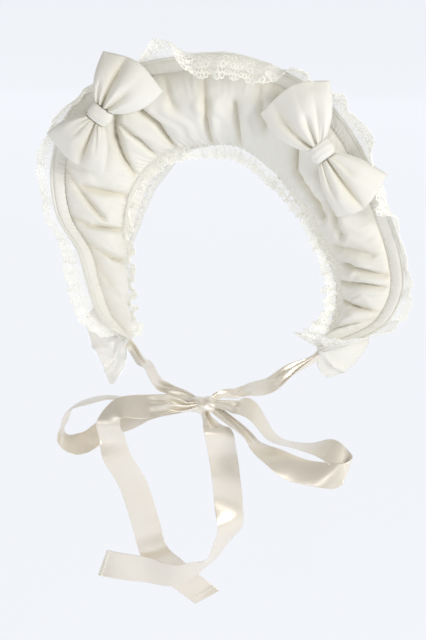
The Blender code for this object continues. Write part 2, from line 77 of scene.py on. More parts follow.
def smoothStep(low, high, value):
    t = np.clip((value - low) / (high - low), 0.0, 1.0)
    return t * t * (3 - 2 * t)


def wobble(value, seed, waves=(3.1, 7.7, 17.3)):
    # a smooth uneven curve between about -1 and 1
    shifts = np.random.RandomState(seed).uniform(0, 2 * math.pi, len(waves))
    return sum(np.sin(2 * math.pi * w * value + s) for w, s in zip(waves, shifts)) / len(waves)


def pleated(turns):
    # a wave from 0 to 1, once a turn
    return 0.5 + 0.5 * np.cos(2 * math.pi * turns)


def offEnds(low, high, share):
    # 0 at both ends of a piece and 1 between them
    return smoothStep(low, high, share) * smoothStep(low, high, 1 - share)


def nearLine(places, shares, line, flat):
    # how far each point of a flat cloth is from a line of (place, share) points, in mm
    here = np.stack([places, shares], 1) * flat
    points = np.asarray(line, float) * flat
    best = np.full(len(here), 1e9)
    for start, end in zip(points, points[1:]):
        run = end - start
        t = np.clip((here - start) @ run / (run @ run), 0.0, 1.0)
        best = np.minimum(best, np.linalg.norm(here - start - t[:, None] * run, axis=1))
    return best


def markCloth(bm, flatSpot):
    # the cloth's own UV, in metres along it and across it
    layer = bm.loops.layers.uv.new("cloth")
    for face in bm.faces:
        for loop in face.loops:
            loop[layer].uv = flatSpot(loop.vert.co)


def flatSheet(columns, rows, length, width):
    # a flat cloth, from -0.5 to 0.5 both ways
    bm = bmesh.new()
    bmesh.ops.create_grid(bm, x_segments=columns, y_segments=rows, size=0.5)
    markCloth(bm, lambda spot: ((spot.x + 0.5) * length * mm, (spot.y + 0.5) * width * mm))
    return bm


def placeVerts(verts, points):
    for vert, point in zip(verts, points * mm):
        vert.co = point


def layOut(verts, shape):
    # moves the points of a flat cloth to where shape says, from their shares along and across it
    flat = np.array([vert.co[:] for vert in verts])
    placeVerts(verts, shape(flat[:, 0] + 0.5, flat[:, 1] + 0.5))


def closeTube(bm, inset=0.0):
    # a cloth that is laid out as a tube is joined along its length, and its ends are closed
    bmesh.ops.remove_doubles(bm, verts=bm.verts[:], dist=1e-6)
    ends = bmesh.ops.holes_fill(bm, edges=[edge for edge in bm.edges if edge.is_boundary])["faces"]
    if inset:
        bmesh.ops.inset_individual(bm, faces=ends, thickness=inset * mm)


def finishPiece(bm, name, material, slotName, *nodes):
    bmesh.ops.recalc_face_normals(bm, faces=bm.faces)
    mesh = bpy.data.meshes.new(name)
    bm.to_mesh(mesh)
    bm.free()
    piece = bpy.data.objects.new(name, mesh)
    bpy.context.scene.collection.objects.link(piece)
    mesh.materials.append(material)
    mesh.shade_smooth()
    mesh.set_sharp_from_angle(angle=math.radians(65))
    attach(piece, "root")
    if nodes:
        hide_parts(*nodes)
    return piece


def padOf(columns, rows, length, width, front, back):
    # a closed pad: a flat cloth is extruded, and its two sides are laid out by front and back
    bm = flatSheet(columns, rows, length, width)
    backVerts = bm.verts[:]
    grown = bmesh.ops.extrude_face_region(bm, geom=bm.faces[:])
    frontVerts = [item for item in grown["geom"] if isinstance(item, bmesh.types.BMVert)]
    layOut(frontVerts, front)
    layOut(backVerts, back)
    return bm


def padShares(columns, rows):
    # the shares along and across of one side of a pad, whose points run row by row
    u, v = np.meshgrid(np.linspace(0, 1, columns + 1), np.linspace(0, 1, rows + 1))
    return u.ravel(), v.ravel()


def pointsOf(mesh):
    points = np.empty(len(mesh.vertices) * 3)
    mesh.vertices.foreach_get("co", points)
    return points.reshape(-1, 3)


def letSettle(piece, cut, held, table):
    # a cloth simulation without gravity: the cloth starts from the piece's shape, springs back
    # towards its cut, is blown up a little, and stays where it is held; then no point may have
    # moved further than the cap
    first = pointsOf(piece.data)
    piece.shape_key_add(name="first shape")
    key = piece.shape_key_add(name="cut")
    key.data.foreach_set("co", cut.ravel())
    group = piece.vertex_groups.new(name="held")
    for i, weight in enumerate(held):
        if weight > 0:
            group.add([i], float(weight), "REPLACE")
    cloth = piece.modifiers.new("cloth", "CLOTH")
    how = cloth.settings
    how.rest_shape_key = key
    how.vertex_group_mass = "held"
    how.quality = table["quality"]
    how.mass = table["mass"]
    how.tension_stiffness = table["tension"]
    how.compression_stiffness = table["compression"]
    how.shear_stiffness = table["shear"]
    how.bending_stiffness = table["bending"]
    how.air_damping = table["damping"]
    how.use_pressure = True
    how.uniform_pressure_force = table["pressure"]
    how.effector_weights.gravity = 0.0
    cloth.point_cache.frame_start, cloth.point_cache.frame_end = 1, table["frames"]
    scene = bpy.context.scene
    for moment in range(1, table["frames"] + 1):
        scene.frame_set(moment)
    graph = bpy.context.evaluated_depsgraph_get()
    mesh = bpy.data.meshes.new_from_object(piece.evaluated_get(graph))
    scene.frame_set(1)
    piece.modifiers.clear()
    piece.vertex_groups.clear()
    piece.shape_key_clear()
    move = pointsOf(mesh) - first
    far = np.linalg.norm(move, axis=1, keepdims=True) / (table["cap"] * mm)
    move = move * np.where(far > 1e-6, np.tanh(far) / np.maximum(far, 1e-6), 1.0)
    mesh.vertices.foreach_set("co", (first + move).ravel())
    piece.data = mesh
    print(piece.name, "settled, moved up to %.1f mm" % (far.max() * table["cap"]))


def thicken(piece, thickness):
    solid = piece.modifiers.new("thickness", "SOLIDIFY")
    solid.thickness = thickness * mm
    solid.offset = 0.0


def soften(piece):
    smooth = piece.modifiers.new("smooth", "SUBSURF")
    smooth.levels = smooth.render_levels = 1


def newMaterial(name, colour, roughness):
    made = bpy.data.materials.new(name)
    made.use_nodes = True
    nodes, links = made.node_tree.nodes, made.node_tree.links
    shader = nodes["Principled BSDF"]
    shader.inputs["Base Color"].default_value = (*colour, 1.0)
    shader.inputs["Roughness"].default_value = roughness
    return made, nodes, links, shader


def addTone(nodes, links, shader, dark, light, scale):
    # soft uneven colour, as in washed natural cloth
    spot = nodes.new("ShaderNodeTexCoord")
    cloud = nodes.new("ShaderNodeTexNoise")
    cloud.inputs["Scale"].default_value = scale
    cloud.inputs["Detail"].default_value = 3.0
    ramp = nodes.new("ShaderNodeValToRGB")
    ramp.color_ramp.elements[0].position = 0.35
    ramp.color_ramp.elements[0].color = (*dark, 1.0)
    ramp.color_ramp.elements[1].position = 0.65
    ramp.color_ramp.elements[1].color = (*light, 1.0)
    links.new(spot.outputs["Object"], cloud.inputs["Vector"])
    links.new(cloud.outputs["Fac"], ramp.inputs["Fac"])
    links.new(ramp.outputs["Color"], shader.inputs["Base Color"])
    return spot


def addPaintedFoldShade(nodes, links, shader, deep):
    # painted shade: the base colour is mixed towards a darker, warmer colour down in the folds, by the
    # amount a piece marks with its own fold attribute
    fold = nodes.new("ShaderNodeAttribute")
    fold.attribute_name = "fold"
    mix = nodes.new("ShaderNodeMix")
    mix.data_type = "RGBA"
    mix.inputs["B"].default_value = (*deep, 1.0)
    links.new(fold.outputs["Fac"], mix.inputs["Factor"])
    links.new(shader.inputs["Base Color"].links[0].from_socket, mix.inputs["A"])
    links.new(mix.outputs["Result"], shader.inputs["Base Color"])


def markPaintedFoldShade(piece, values):
    # painted shade: how far each point's colour is darkened towards the fold shade colour
    layer = piece.data.attributes.new("fold", "FLOAT", "POINT")
    layer.data.foreach_set("value", np.clip(values, 0.0, 1.0))


def addWeave(nodes, links, shader, spot, weave, creases):
    # threads along and across the cloth's own UV, over small soft creases, as one bump
    bandScale = 2 * math.pi / 20    # a wave texture at this scale has one band a unit
    bands = []
    for direction in ("X", "Y"):
        wave = nodes.new("ShaderNodeTexWave")
        wave.wave_type = "BANDS"
        wave.bands_direction = direction
        wave.inputs["Scale"].default_value = weave["threads"] / mm * bandScale
        wave.inputs["Distortion"].default_value = weave["uneven"]
        links.new(spot.outputs["UV"], wave.inputs["Vector"])
        bands.append(wave.outputs["Fac"])
    both = nodes.new("ShaderNodeMath")
    both.operation = "MULTIPLY"
    crease = nodes.new("ShaderNodeTexNoise")
    crease.inputs["Scale"].default_value = creases["scale"]
    crease.inputs["Detail"].default_value = 4.0
    crease.inputs["Roughness"].default_value = 0.55
    fine, soft = nodes.new("ShaderNodeBump"), nodes.new("ShaderNodeBump")
    for bump, table in ((fine, weave), (soft, creases)):
        bump.inputs["Strength"].default_value = table["strength"]
        bump.inputs["Distance"].default_value = table["height"] * mm
    links.new(bands[0], both.inputs[0])
    links.new(bands[1], both.inputs[1])
    links.new(both.outputs["Value"], fine.inputs["Height"])
    links.new(spot.outputs["Object"], crease.inputs["Vector"])
    links.new(crease.outputs["Fac"], soft.inputs["Height"])
    links.new(fine.outputs["Normal"], soft.inputs["Normal"])
    links.new(soft.outputs["Normal"], shader.inputs["Normal"])


def makeFinish(name, look):
    made, nodes, links, shader = newMaterial(name, look["light"], look["roughness"])
    for entry, value in look["shader"].items():
        shader.inputs[entry].default_value = value
    spot = addTone(nodes, links, shader, look["dark"], look["light"], look["clouds"])
    if "deep" in look:
        addPaintedFoldShade(nodes, links, shader, look["deep"])
    if "weave" in look:
        addWeave(nodes, links, shader, spot, look["weave"], look["creases"])
    return made


cottonLook = {
    "dark": (0.83, 0.815, 0.75),
    "light": (0.89, 0.88, 0.83),
    # painted shade: the darker, warmer colour that the folds, the seams and the bows' knots are mixed
    # towards
    "deep": (0.72, 0.66, 0.50),
    "fullShadeDepth": 9.0,         # a fold this deep shows the whole painted shade colour
    "clouds": 14.0,           # the scale of the uneven colour
    "roughness": 0.62,
    "shader": {"Sheen Weight": 0.35, "Sheen Roughness": 0.45, "Specular IOR Level": 0.35},
    "weave": {"threads": 1.6, "uneven": 0.6, "height": 0.12, "strength": 0.35},   # threads a mm
    "creases": {"scale": 95.0, "height": 1.2, "strength": 0.22},
}

laceLook = {
    "dark": (0.90, 0.89, 0.83),
    "light": (0.95, 0.945, 0.90),
    "clouds": 30.0,
    "roughness": 0.85,
    # painted glow: the emission stands in for the light that comes through the thin threads
    "shader": {"Specular IOR Level": 0.15, "Emission Color": (0.95, 0.945, 0.90, 1.0),
               "Emission Strength": 0.18},
}

satinLook = {
    "dark": (0.85, 0.79, 0.69),
    "light": (0.91, 0.86, 0.77),
    "clouds": 9.0,
    "roughness": 0.33,
    # the metal is the share of light that its smooth long threads throw back
    "shader": {"Metallic": 0.38, "Specular IOR Level": 0.9, "Anisotropic": 0.5, "Sheen Weight": 0.25,
               "Coat Weight": 0.35, "Coat Roughness": 0.22},
    "weave": {"threads": 2.2, "uneven": 0.6, "height": 0.05, "strength": 0.35},
    "creases": {"scale": 120.0, "height": 0.6, "strength": 0.12},
}

cotton = makeFinish("ivory padded cotton", cottonLook)
thread = makeFinish("ivory lace thread", laceLook)
satin = makeFinish("ivory satin", satinLook)
print("finishes made")


brim = {
    "table": (                # the seam at the face, x, y, z, and the rim, x, y, z
        (-89, -4, -182, -92, -20, -172),
        (-95, 2, -160, -107, -36, -150),
        (-97, 8, -131, -115, -44, -121),
        (-92, 8, -103, -123, -46, -90),
        (-82, 4, -71, -143, -42, -57),
        (-70, 2, -41, -147, -38, -13),
        (-53, 0, -18, -131, -36, 32),
        (-32, -1, -4, -90, -36, 66),
        (-11, -1, 1, -37, -36, 80),
        (9, -1, 0, 15, -36, 83),
        (30, 0, -11, 61, -36, 68),
        (50, 2, -32, 98, -34, 41),
        (66, 4, -57, 126, -32, 1),
        (79, 8, -82, 145, -28, -44),
        (92, 10, -107, 158, -24, -83),
        (98, 10, -131, 161, -20, -117),
        (94, 4, -155, 147, -18, -148),
        (88, -2, -170, 117, -14, -168),
        (83, -4, -178, 90, -10, -178),
    ),
    "ends": (0.004, 0.996),
    "belly": 5.0,             # how far the middle of the brim bulges to the front
    "endBelly": 0.33,         # the share of it left at the lower ends
    "endLength": 0.09,
    "weave": (820.0, 88.0),   # length and width on which its folds and its weave are measured
    "bandWidth": 11.0,
    "bandShare": 0.4,
}


def brimFlat(place, share):
    row = along(brim["table"], place)
    return row[:, :3] + (row[:, 3:] - row[:, :3]) * np.asarray(share)[..., None]


def brimNormal(place):
    half = np.full_like(place, 0.5)
    ahead = brimFlat(np.minimum(place + 0.02, 1), half)
    behind = brimFlat(np.maximum(place - 0.02, 0), half)
    row = along(brim["table"], place)
    return unit(np.cross(ahead - behind, row[:, 3:] - row[:, :3]))


def endTaper(place):
    return brim["endBelly"] + (1 - brim["endBelly"]) * offEnds(0, brim["endLength"], place)


def onBrim(place, share, lift):
    belly = brim["belly"] * np.sin(math.pi * np.clip(share, 0, 1)) * endTaper(place)
    return brimFlat(place, share) + brimNormal(place) * (belly + lift)[:, None]


def brimWidth(place):
    return np.linalg.norm(brimFlat(place, np.ones_like(place)) - brimFlat(place, place * 0), axis=1)


def bandStart(place):
    return 1 - np.minimum(brim["bandWidth"] / brimWidth(place), brim["bandShare"])


def underside(spread):
    # the plain side of a pad, which lies on the brim
    def side(u, v):
        place, share = spread(u, v)
        return onBrim(place, share, place * 0)

    return side


def alongBrim(share):
    low, high = brim["ends"]
    return low + (high - low) * share


lining = {
    "columns": 440,
    "rows": 32,
    "cut": (900.0, 92.0),     # the padded cloth before it is gathered
    "tack": 0.5,              # how firmly the bottoms of the deep folds are held
    "fill": 0.7,
    "settle": {"frames": 22, "quality": 5, "mass": 0.3, "tension": 15.0, "compression": 3.0,
               "shear": 3.0, "bending": 1.5, "damping": 2.0, "pressure": 4.0, "cap": 6.0},
    "start": (                # place, and the share of the brim's width where the padding starts
        (0.00, 0.20), (0.06, 0.22), (0.28, 0.20), (0.36, 0.12), (0.42, 0.04), (0.58, 0.04), (0.64, 0.12),
        (0.70, 0.20), (0.76, 0.20), (0.82, 0.15), (0.88, 0.22), (0.93, 0.28), (1.00, 0.30),
    ),
    "gap": 0.12,              # to the shirred band
    "edge": 2.4,              # its thickness at the seams
    "puff": 13.0,             # how high it stands between them
    "puffUneven": 0.2,
    "fullness": 0.62,         # less makes the puffs squarer
    "gathers": 118,
    "gatherHeight": 1.9,
    "gatherUneven": 0.35,
    "gatherReach": 0.34,
    "drift": 0.5,             # how far the gathers stray from even steps
    "ripples": 1.3,           # long soft wrinkles that run in from the seams
    "paintedShade": 0.55,             # how much of the painted shade colour the folds and seams show
    "sharp": 0.65,            # 1 makes the bottoms of the folds creases, 0 rounds them
    "depth": 1.35,            # what the depths of all valleys are multiplied by
    "valleys": (
        # depth, half width, then the points of the valley as place and share of the width
        (7.0, 4.5, (0.77, 0.38), (0.787, 0.60), (0.805, 0.84)),
        (6.5, 4.0, (0.803, 0.22), (0.81, 0.54), (0.823, 0.80)),
        (6.0, 4.0, (0.845, 0.25), (0.86, 0.55), (0.867, 0.78)),
        (4.0, 4.0, (0.92, 0.35), (0.90, 0.60), (0.88, 0.82)),
        (4.5, 5.0, (0.738, 0.35), (0.758, 0.64), (0.768, 0.74)),
        (6.5, 4.5, (0.262, 0.70), (0.263, 0.38), (0.263, 0.08)),
        (5.5, 4.0, (0.275, 0.86), (0.25, 0.69), (0.225, 0.52)),
        (6.5, 4.5, (0.223, 0.91), (0.21, 0.71), (0.208, 0.20)),
        (5.0, 3.5, (0.182, 0.92), (0.163, 0.58)),
        (6.5, 4.0, (0.195, 0.92), (0.177, 0.82), (0.16, 0.60), (0.155, 0.2)),
        (5.0, 4.0, (0.170, 0.88), (0.143, 0.80), (0.113, 0.72)),
        (6.5, 5.5, (0.47, 0.84), (0.465, 0.53), (0.453, 0.12)),
        (6.0, 5.0, (0.505, 0.58), (0.51, 0.40), (0.515, 0.16)),
        (8.0, 3.6, (0.366, 0.74), (0.348, 0.62), (0.32, 0.41), (0.298, 0.22)),
        (6.0, 3.2, (0.357, 0.62), (0.356, 0.41), (0.345, 0.16)),
        (8.0, 3.6, (0.384, 0.70), (0.393, 0.45), (0.380, 0.14)),
        (7.0, 4.0, (0.603, 0.55), (0.62, 0.36), (0.662, 0.33), (0.693, 0.38)),
        (5.0, 5.0, (0.53, 0.86), (0.54, 0.66), (0.552, 0.50)),
        (5.0, 4.0, (0.547, 0.85), (0.565, 0.72)),
        (5.0, 5.0, (0.645, 0.6), (0.695, 0.52), (0.725, 0.50)),
        (5.0, 5.0, (0.43, 0.86), (0.425, 0.62)),
        (5.0, 5.0, (0.33, 0.90), (0.325, 0.74)),
    ),
}


def liningStart(place):
    return lookedUp(lining["start"], place)[0]


def liningCut(place, share):
    # how deep the folds are, in mm
    cut = np.zeros_like(place)
    for depth, half, *line in lining["valleys"]:
        away = nearLine(place, share, line, brim["weave"]) / half
        fold = lining["sharp"] * np.exp(-1.6 * away) + (1 - lining["sharp"]) * np.exp(-(away**2))
        cut = np.maximum(cut, lining["depth"] * depth * fold)
    return cut


def liningHeight(place, share):
    start = liningStart(place)
    t = np.clip((share - start) / (bandStart(place) - start), 0.0, 1.0)
    crown = np.sin(math.pi * t) ** lining["fullness"]
    cut = liningCut(place, share)
    uneven = 1 + lining["puffUneven"] * wobble(place, 12, (7.0, 12.0, 17.0))
    puff = np.maximum(lining["puff"] * uneven * crown * endTaper(place) - cut * crown, 0.0)
    nearSeam = 1 - smoothStep(0.0, lining["gatherReach"], np.minimum(t, 1 - t))
    phase = lining["gathers"] * place + lining["drift"] * wobble(place, 4, (9.0, 23.0, 41.0))
    gathers = lining["gatherHeight"] * nearSeam * pleated(phase)
    gathers *= 0.75 + lining["gatherUneven"] * wobble(place, 11, (13.0, 29.0))
    ripple = wobble(place + 0.012 * wobble(share, 3, (1.3, 2.7)), 5, (19.0, 31.0, 47.0))
    ripple = lining["ripples"] * ripple * np.sin(math.pi * t) ** 0.4 * endTaper(place)
    return lining["edge"] + gathers + np.maximum(puff + ripple, 0.0)


def makeLining():
    def spread(u, v):
        place = alongBrim(u)
        start, end = liningStart(place), bandStart(place) - lining["gap"] / brimWidth(place)
        return place, start + (end - start) * v

    def front(u, v):
        place, share = spread(u, v)
        return onBrim(place, share, liningHeight(place, share))

    bm = padOf(lining["columns"], lining["rows"], *brim["weave"], front, underside(spread))
    piece = finishPiece(bm, "padded_lining", cotton, "ivory_cotton", "brim_lining")
    # the first half of the points are the underside, the second half the front, both row by row
    count = len(piece.data.vertices) // 2
    u, v = padShares(lining["columns"], lining["rows"])
    place, share = spread(u, v)
    atSeam = (v < 0.001) | (v > 0.999) | (u < 0.001) | (u > 0.999)
    depth = np.zeros_like(u)
    for _, half, *line in lining["valleys"]:
        depth = np.maximum(depth, nearLine(place, share, line, brim["weave"]) < 0.35 * half)
    held = np.concatenate([np.ones(count), np.where(atSeam, 1.0, lining["tack"] * depth)])
    length, width = lining["cut"]
    flat = np.stack([u * length, v * width, u * 0], 1) * mm
    # painted shade: darker in the valleys of the folds and along the seams at both edges
    seamShade = 0.25 * np.exp(-np.minimum(v, 1 - v) / 0.05)
    deep = lining["paintedShade"] * (liningCut(place, share) / cottonLook["fullShadeDepth"] + seamShade)
    markPaintedFoldShade(piece, np.concatenate([u * 0, deep]))
    letSettle(piece, np.concatenate([pointsOf(piece.data)[:count], flat]), held, lining["settle"])


band = {
    "columns": 1260,
    "rows": 6,
    "weave": (1066.0, 12.0),
    "flat": (0.013, 0.86),    # in metres, before it is gathered
    "inset": 0.2,             # from the rim
    "edge": 2.3,
    "rise": 0.5,              # how much thicker it is at the rim
    "swell": 1.2,
    "pleats": 210,
    "pleatDepth": 0.7,
    "pleatUneven": 0.4,
    "drift": 0.6,
    "fade": 0.75,             # the share of the pleats that is gone at the rim
}


def makeBand():
    def spread(u, v):
        place = alongBrim(u)
        start, end = bandStart(place), 1 - band["inset"] / brimWidth(place)
        return place, start + (end - start) * v

    def front(u, v):
        place, share = spread(u, v)
        phase = band["pleats"] * place + band["drift"] * wobble(place, 8, (11.0, 27.0))
        uneven = 0.6 + band["pleatUneven"] * wobble(place, 9, (5.0, 14.0, 33.0))
        fade = 1 - band["fade"] * smoothStep(0.15, 0.8, v)
        pleat = band["pleatDepth"] * uneven * fade * pleated(phase)
        lift = band["edge"] + band["rise"] * v + band["swell"] * (1 - (2 * v - 1) ** 4)
        return onBrim(place, share, lift - pleat)

    bm = padOf(band["columns"], band["rows"], *band["weave"], front, underside(spread))
    piece = finishPiece(bm, "shirred_band", cotton, "ivory_cotton", "rim_band")


piping = {
    "radius": 1.5,
    "sink": 0.6,              # how far it is sewn into the rim
    "puckers": 260,
    "puckerShare": 0.05,
    "columns": 420,
    "sides": 12,
    "weaveWidth": 10.0,
}


def rimFrame(place, outward):
    # the rim's edge or the seam at the face, the way out from it and the way to the front
    edge = onBrim(place, np.ones_like(place), place * 0)
    seam = onBrim(place, place * 0, place * 0)
    away = unit(edge - seam)
    front = brimNormal(place)
    return (edge, away, front) if outward else (seam, -away, front)


def laceLine(place, outward):
    # where a lace is sewn on: along the rim, or along the start of the padded cloth
    edge, away, front = rimFrame(place, outward)
    if not outward:
        edge = onBrim(place, liningStart(place), place * 0)
    return edge, away, front


def makePiping():
    def tube(u, v):
        place = alongBrim(u)
        edge, away, front = rimFrame(place, True)
        radius = piping["radius"]
        centre = edge + away * (radius - piping["sink"]) + front * radius
        pucker = radius * (1 + piping["puckerShare"] * np.sin(2 * math.pi * piping["puckers"] * place))
        angle = 2 * math.pi * v
        ring = away * np.cos(angle)[:, None] + front * np.sin(angle)[:, None]
        return centre + ring * pucker[:, None]

    bm = flatSheet(piping["columns"], piping["sides"], brim["weave"][0], piping["weaveWidth"])
    layOut(bm.verts[:], tube)
    closeTube(bm)
    finishPiece(bm, "rim_cord_piping", cotton, "ivory_cotton", "rim_piping")


brimBack = {
    "columns": 500,
    "rows": 26,
    "flat": (0.075, 0.80),    # in metres, guessed from the front of the brim
    "start": 0.02,
    "gap": 0.9,
    "cloth": 0.9,
    "gathers": 90,
    "gatherHeight": 0.9,
    "gatherReach": 0.4,
    "drift": 0.7,
    "sag": 1.2,
}


def makeBack():
    def shape(u, v):
        place = alongBrim(u)
        share = brimBack["start"] + (1 - brimBack["start"]) * v
        nearSeam = 1 - smoothStep(0.0, brimBack["gatherReach"], np.minimum(v, 1 - v))
        phase = brimBack["gathers"] * place + brimBack["drift"] * wobble(place, 21, (7.0, 19.0))
        gathers = brimBack["gatherHeight"] * nearSeam * pleated(phase)
        sag = brimBack["sag"] * np.sin(math.pi * v) * (0.5 + 0.5 * wobble(place, 22, (9.0, 16.0)))
        return onBrim(place, share, -brimBack["gap"] - 0.5 * brimBack["cloth"] - gathers - sag)

    bm = flatSheet(brimBack["columns"], brimBack["rows"], *brim["weave"])
    layOut(bm.verts[:], shape)
    piece = finishPiece(bm, "plain_brim_back", cotton, "ivory_cotton", "brim_back")
    thicken(piece, brimBack["cloth"])


crown = {
    "table": (                # place on the seam, and the back edge, x, y, z
        (0.00, -139, 22, -172),
        (0.06, -124, 36, -146),
        (0.14, -104, 50, -108),
        (0.25, -86, 58, -58),
        (0.38, -50, 60, -10),
        (0.50, 2, 60, 7),
        (0.62, 52, 60, -24),
        (0.74, 88, 58, -70),
        (0.86, 108, 50, -116),
        (0.94, 122, 36, -150),
        (1.00, 127, 22, -180),
    ),
    "leftFlap": ((-109, 13.5, -227, -113, 12.5, -227), (-104, 11, -219, -118, 15, -213),
                 (-96, 8, -203, -127, 18, -196)),
    "rightFlap": ((83, 5, -194, 115, 20, -196), (86, 10, -203, 103, 17, -205),
                  (91, 14.5, -209, 95, 15.5, -209)),
    "columns": 420,
    "rows": 30,
    "seamLines": 36,
    "gap": 3.55,              # from the brim to the crown's front edge
    "cloth": 1.2,
    "belly": 3.0,
    "gathers": 70,            # none on the flaps at its ends
    "gatherHeight": 1.4,
    "gatherReach": 0.28,
    "drift": 0.8,
    "soft": 0.9,              # the height of its long soft waves
    "weave": (780.0, 80.0),   # length and width on which its folds and its weave are measured
    "flat": (0.062, 0.55),    # in metres
    "folds": (                # depth, half width, then the points of the fold as shares
        (4.2, 2.6, (0.088, -0.05), (0.060, 0.45), (0.052, 1.0)),
        (3.8, 2.6, (0.088, 0.0), (0.040, 0.40), (0.022, 0.9)),
        (3.0, 2.6, (0.925, 0.0), (0.955, 0.40), (0.970, 1.0)),
    ),
}


def makeCrown():
    place = alongBrim(np.linspace(0, 1, crown["seamLines"]))
    seam, away, front = rimFrame(place, False)
    back = np.stack(lookedUp(crown["table"], place), 1)
    lines = np.hstack([seam - front * crown["gap"], back])
    lines = np.vstack([crown["leftFlap"], lines, crown["rightFlap"]])

    def shape(u, v):
        row = along(lines, u)
        ahead, behind = along(lines, np.minimum(u + 0.01, 1)), along(lines, np.maximum(u - 0.01, 0))
        run = (ahead[:, :3] + ahead[:, 3:] - behind[:, :3] - behind[:, 3:]) / 2
        outward = unit(np.cross(row[:, 3:] - row[:, :3], run))
        belly = crown["belly"] * np.sin(math.pi * v) * offEnds(0.08, 0.2, u)
        nearSeam = np.exp(-((v / crown["gatherReach"]) ** 2))
        nearSeam = nearSeam * smoothStep(0.07, 0.12, u) * smoothStep(0.05, 0.1, 1 - u)
        phase = crown["gathers"] * u + crown["drift"] * wobble(u, 31, (6.0, 15.0))
        gathers = crown["gatherHeight"] * nearSeam * np.sin(2 * math.pi * phase)
        soft = crown["soft"] * wobble(u + 0.05 * v, 32, (8.0, 13.0, 21.0)) * np.sin(math.pi * v)
        folds = sum(depth * np.exp(-nearLine(u, v, line, crown["weave"]) / half)
                    for depth, half, *line in crown["folds"])
        lift = belly + gathers + soft - folds
        return row[:, :3] + (row[:, 3:] - row[:, :3]) * v[:, None] + outward * lift[:, None]

    bm = flatSheet(crown["columns"], crown["rows"], *crown["weave"])
    layOut(bm.verts[:], shape)
    piece = finishPiece(bm, "half_crown", cotton, "ivory_cotton", "crown_band")
    thicken(piece, crown["cloth"])


makeLining()
makeBand()
makePiping()
makeBack()
makeCrown()
print("brim and crown made")


def layFlat(verts, centre, turn, squeeze):
    # a small shape is squeezed, turned and moved to its place on the flat cloth
    cos, sin = math.cos(turn), math.sin(turn)
    for vert in verts:
        x, y = vert.co.x, vert.co.y * squeeze
        vert.co = Vector((centre[0] + x * cos - y * sin, centre[1] + x * sin + y * cos, 0.0))


def addRing(bm, centre, radius, line, sides=8, turn=0.0, squeeze=1.0):
    # a flat ring of thread: a circle's face, inset, with its middle taken out
    verts = set(bmesh.ops.create_circle(bm, cap_ends=True, segments=sides, radius=radius)["verts"])
    face = [face for face in bm.faces if face.verts[0] in verts and len(face.verts) == sides][0]
    bmesh.ops.inset_individual(bm, faces=[face], thickness=line)
    ring = {vert for edge in face.edges for other in edge.link_faces for vert in other.verts}
    bmesh.ops.delete(bm, geom=[face], context="FACES_ONLY")
    layFlat(ring, centre, turn, squeeze)


def addStitch(bm, centre, radius, turn, squeeze, sides=8):
    made = bmesh.ops.create_circle(bm, cap_ends=True, segments=sides, radius=radius)
    layFlat(made["verts"], centre, turn, squeeze)


def scallopEdge(lace, x):
    # how far out the lace reaches at x, which runs from 0 to one period
    dip = abs(math.sin(math.pi * x / lace["period"]))
    return lace["width"] - lace["scallop"] * (1 - dip**0.7)


def netOf(lace):
    # one period of net: a grid is poked, its own lines are dissolved into diamonds, and each
    # diamond is inset and opened
    bm = bmesh.new()
    across = max(int(round(lace["width"] / lace["mesh"])), 2)
    count = int(round(lace["period"] / lace["mesh"]))
    bmesh.ops.create_grid(bm, x_segments=count, y_segments=across, size=0.5)
    bmesh.ops.scale(bm, vec=(lace["period"], lace["width"], 1), verts=bm.verts[:])
    bmesh.ops.translate(bm, vec=(lace["period"] / 2, lace["width"] / 2, 0), verts=bm.verts[:])
    old = [edge for edge in bm.edges if not edge.is_boundary]
    bmesh.ops.poke(bm, faces=bm.faces[:])
    bmesh.ops.dissolve_edges(bm, edges=old, use_verts=False)
    middles = {face: face.calc_center_median() for face in bm.faces}
    beyond = [face for face in bm.faces
              if middles[face].y > scallopEdge(lace, middles[face].x) - lace["edging"]]
    bmesh.ops.delete(bm, geom=beyond, context="FACES")
    holes = bm.faces[:]
    bmesh.ops.inset_individual(bm, faces=holes, thickness=lace["line"], use_even_offset=True)
    bmesh.ops.delete(bm, geom=holes, context="FACES_ONLY")
    return bm


def needleworkOf(lace):
    # one period of needlework: a rosette in the scallop, small leaves, and rings round the edge
    bm = bmesh.new()
    middle = (lace["period"] / 2, lace["rosetteAt"])
    petal = lace["petal"]
    out = petal * 1.45
    for k in range(lace["petals"]):
        turn = 2 * math.pi * k / lace["petals"]
        spot = (middle[0] + out * math.cos(turn), middle[1] + out * math.sin(turn))
        addRing(bm, spot, petal, lace["cord"], turn=turn, squeeze=0.8)
    addRing(bm, middle, petal * 0.75, lace["cord"])
    for k in range(lace["edgeRings"]):
        share = (k + 0.5) / lace["edgeRings"]
        x = lace["period"] * share
        radius = lace["ring"] * (0.8 + 0.3 * math.sin(math.pi * share))    # largest in the middle
        addRing(bm, (x, scallopEdge(lace, x) - radius * 0.8), radius, lace["cord"])
    for x, y, turn in lace["leaves"]:
        spot = (x * lace["period"], y * lace["width"])
        addStitch(bm, spot, lace["leaf"], math.radians(turn), lace["leafShape"])
    return bm


def repeated(bm, lace):
    # the pattern, repeated along the lace
    mesh = bpy.data.meshes.new("pattern")
    bm.to_mesh(mesh)
    bm.free()
    holder = bpy.data.objects.new("pattern", mesh)
    bpy.context.scene.collection.objects.link(holder)
    array = holder.modifiers.new("repeat", "ARRAY")
    array.count = lace["count"]
    array.use_relative_offset = False
    array.use_constant_offset = True
    array.constant_offset_displace = (lace["period"], 0, 0)
    graph = bpy.context.evaluated_depsgraph_get()
    whole = bmesh.new()
    whole.from_mesh(holder.evaluated_get(graph).to_mesh())
    bpy.data.objects.remove(holder, do_unlink=True)
    bmesh.ops.remove_doubles(whole, verts=whole.verts[:], dist=1e-4)
    return whole


# how both laces ruffle: the waves grow from the seam to the edge, lean over and flutter
ruffle = {"drift": 0.35, "uneven": 0.3, "growth": 0.8, "curl": 0.45, "flutter": 0.5}


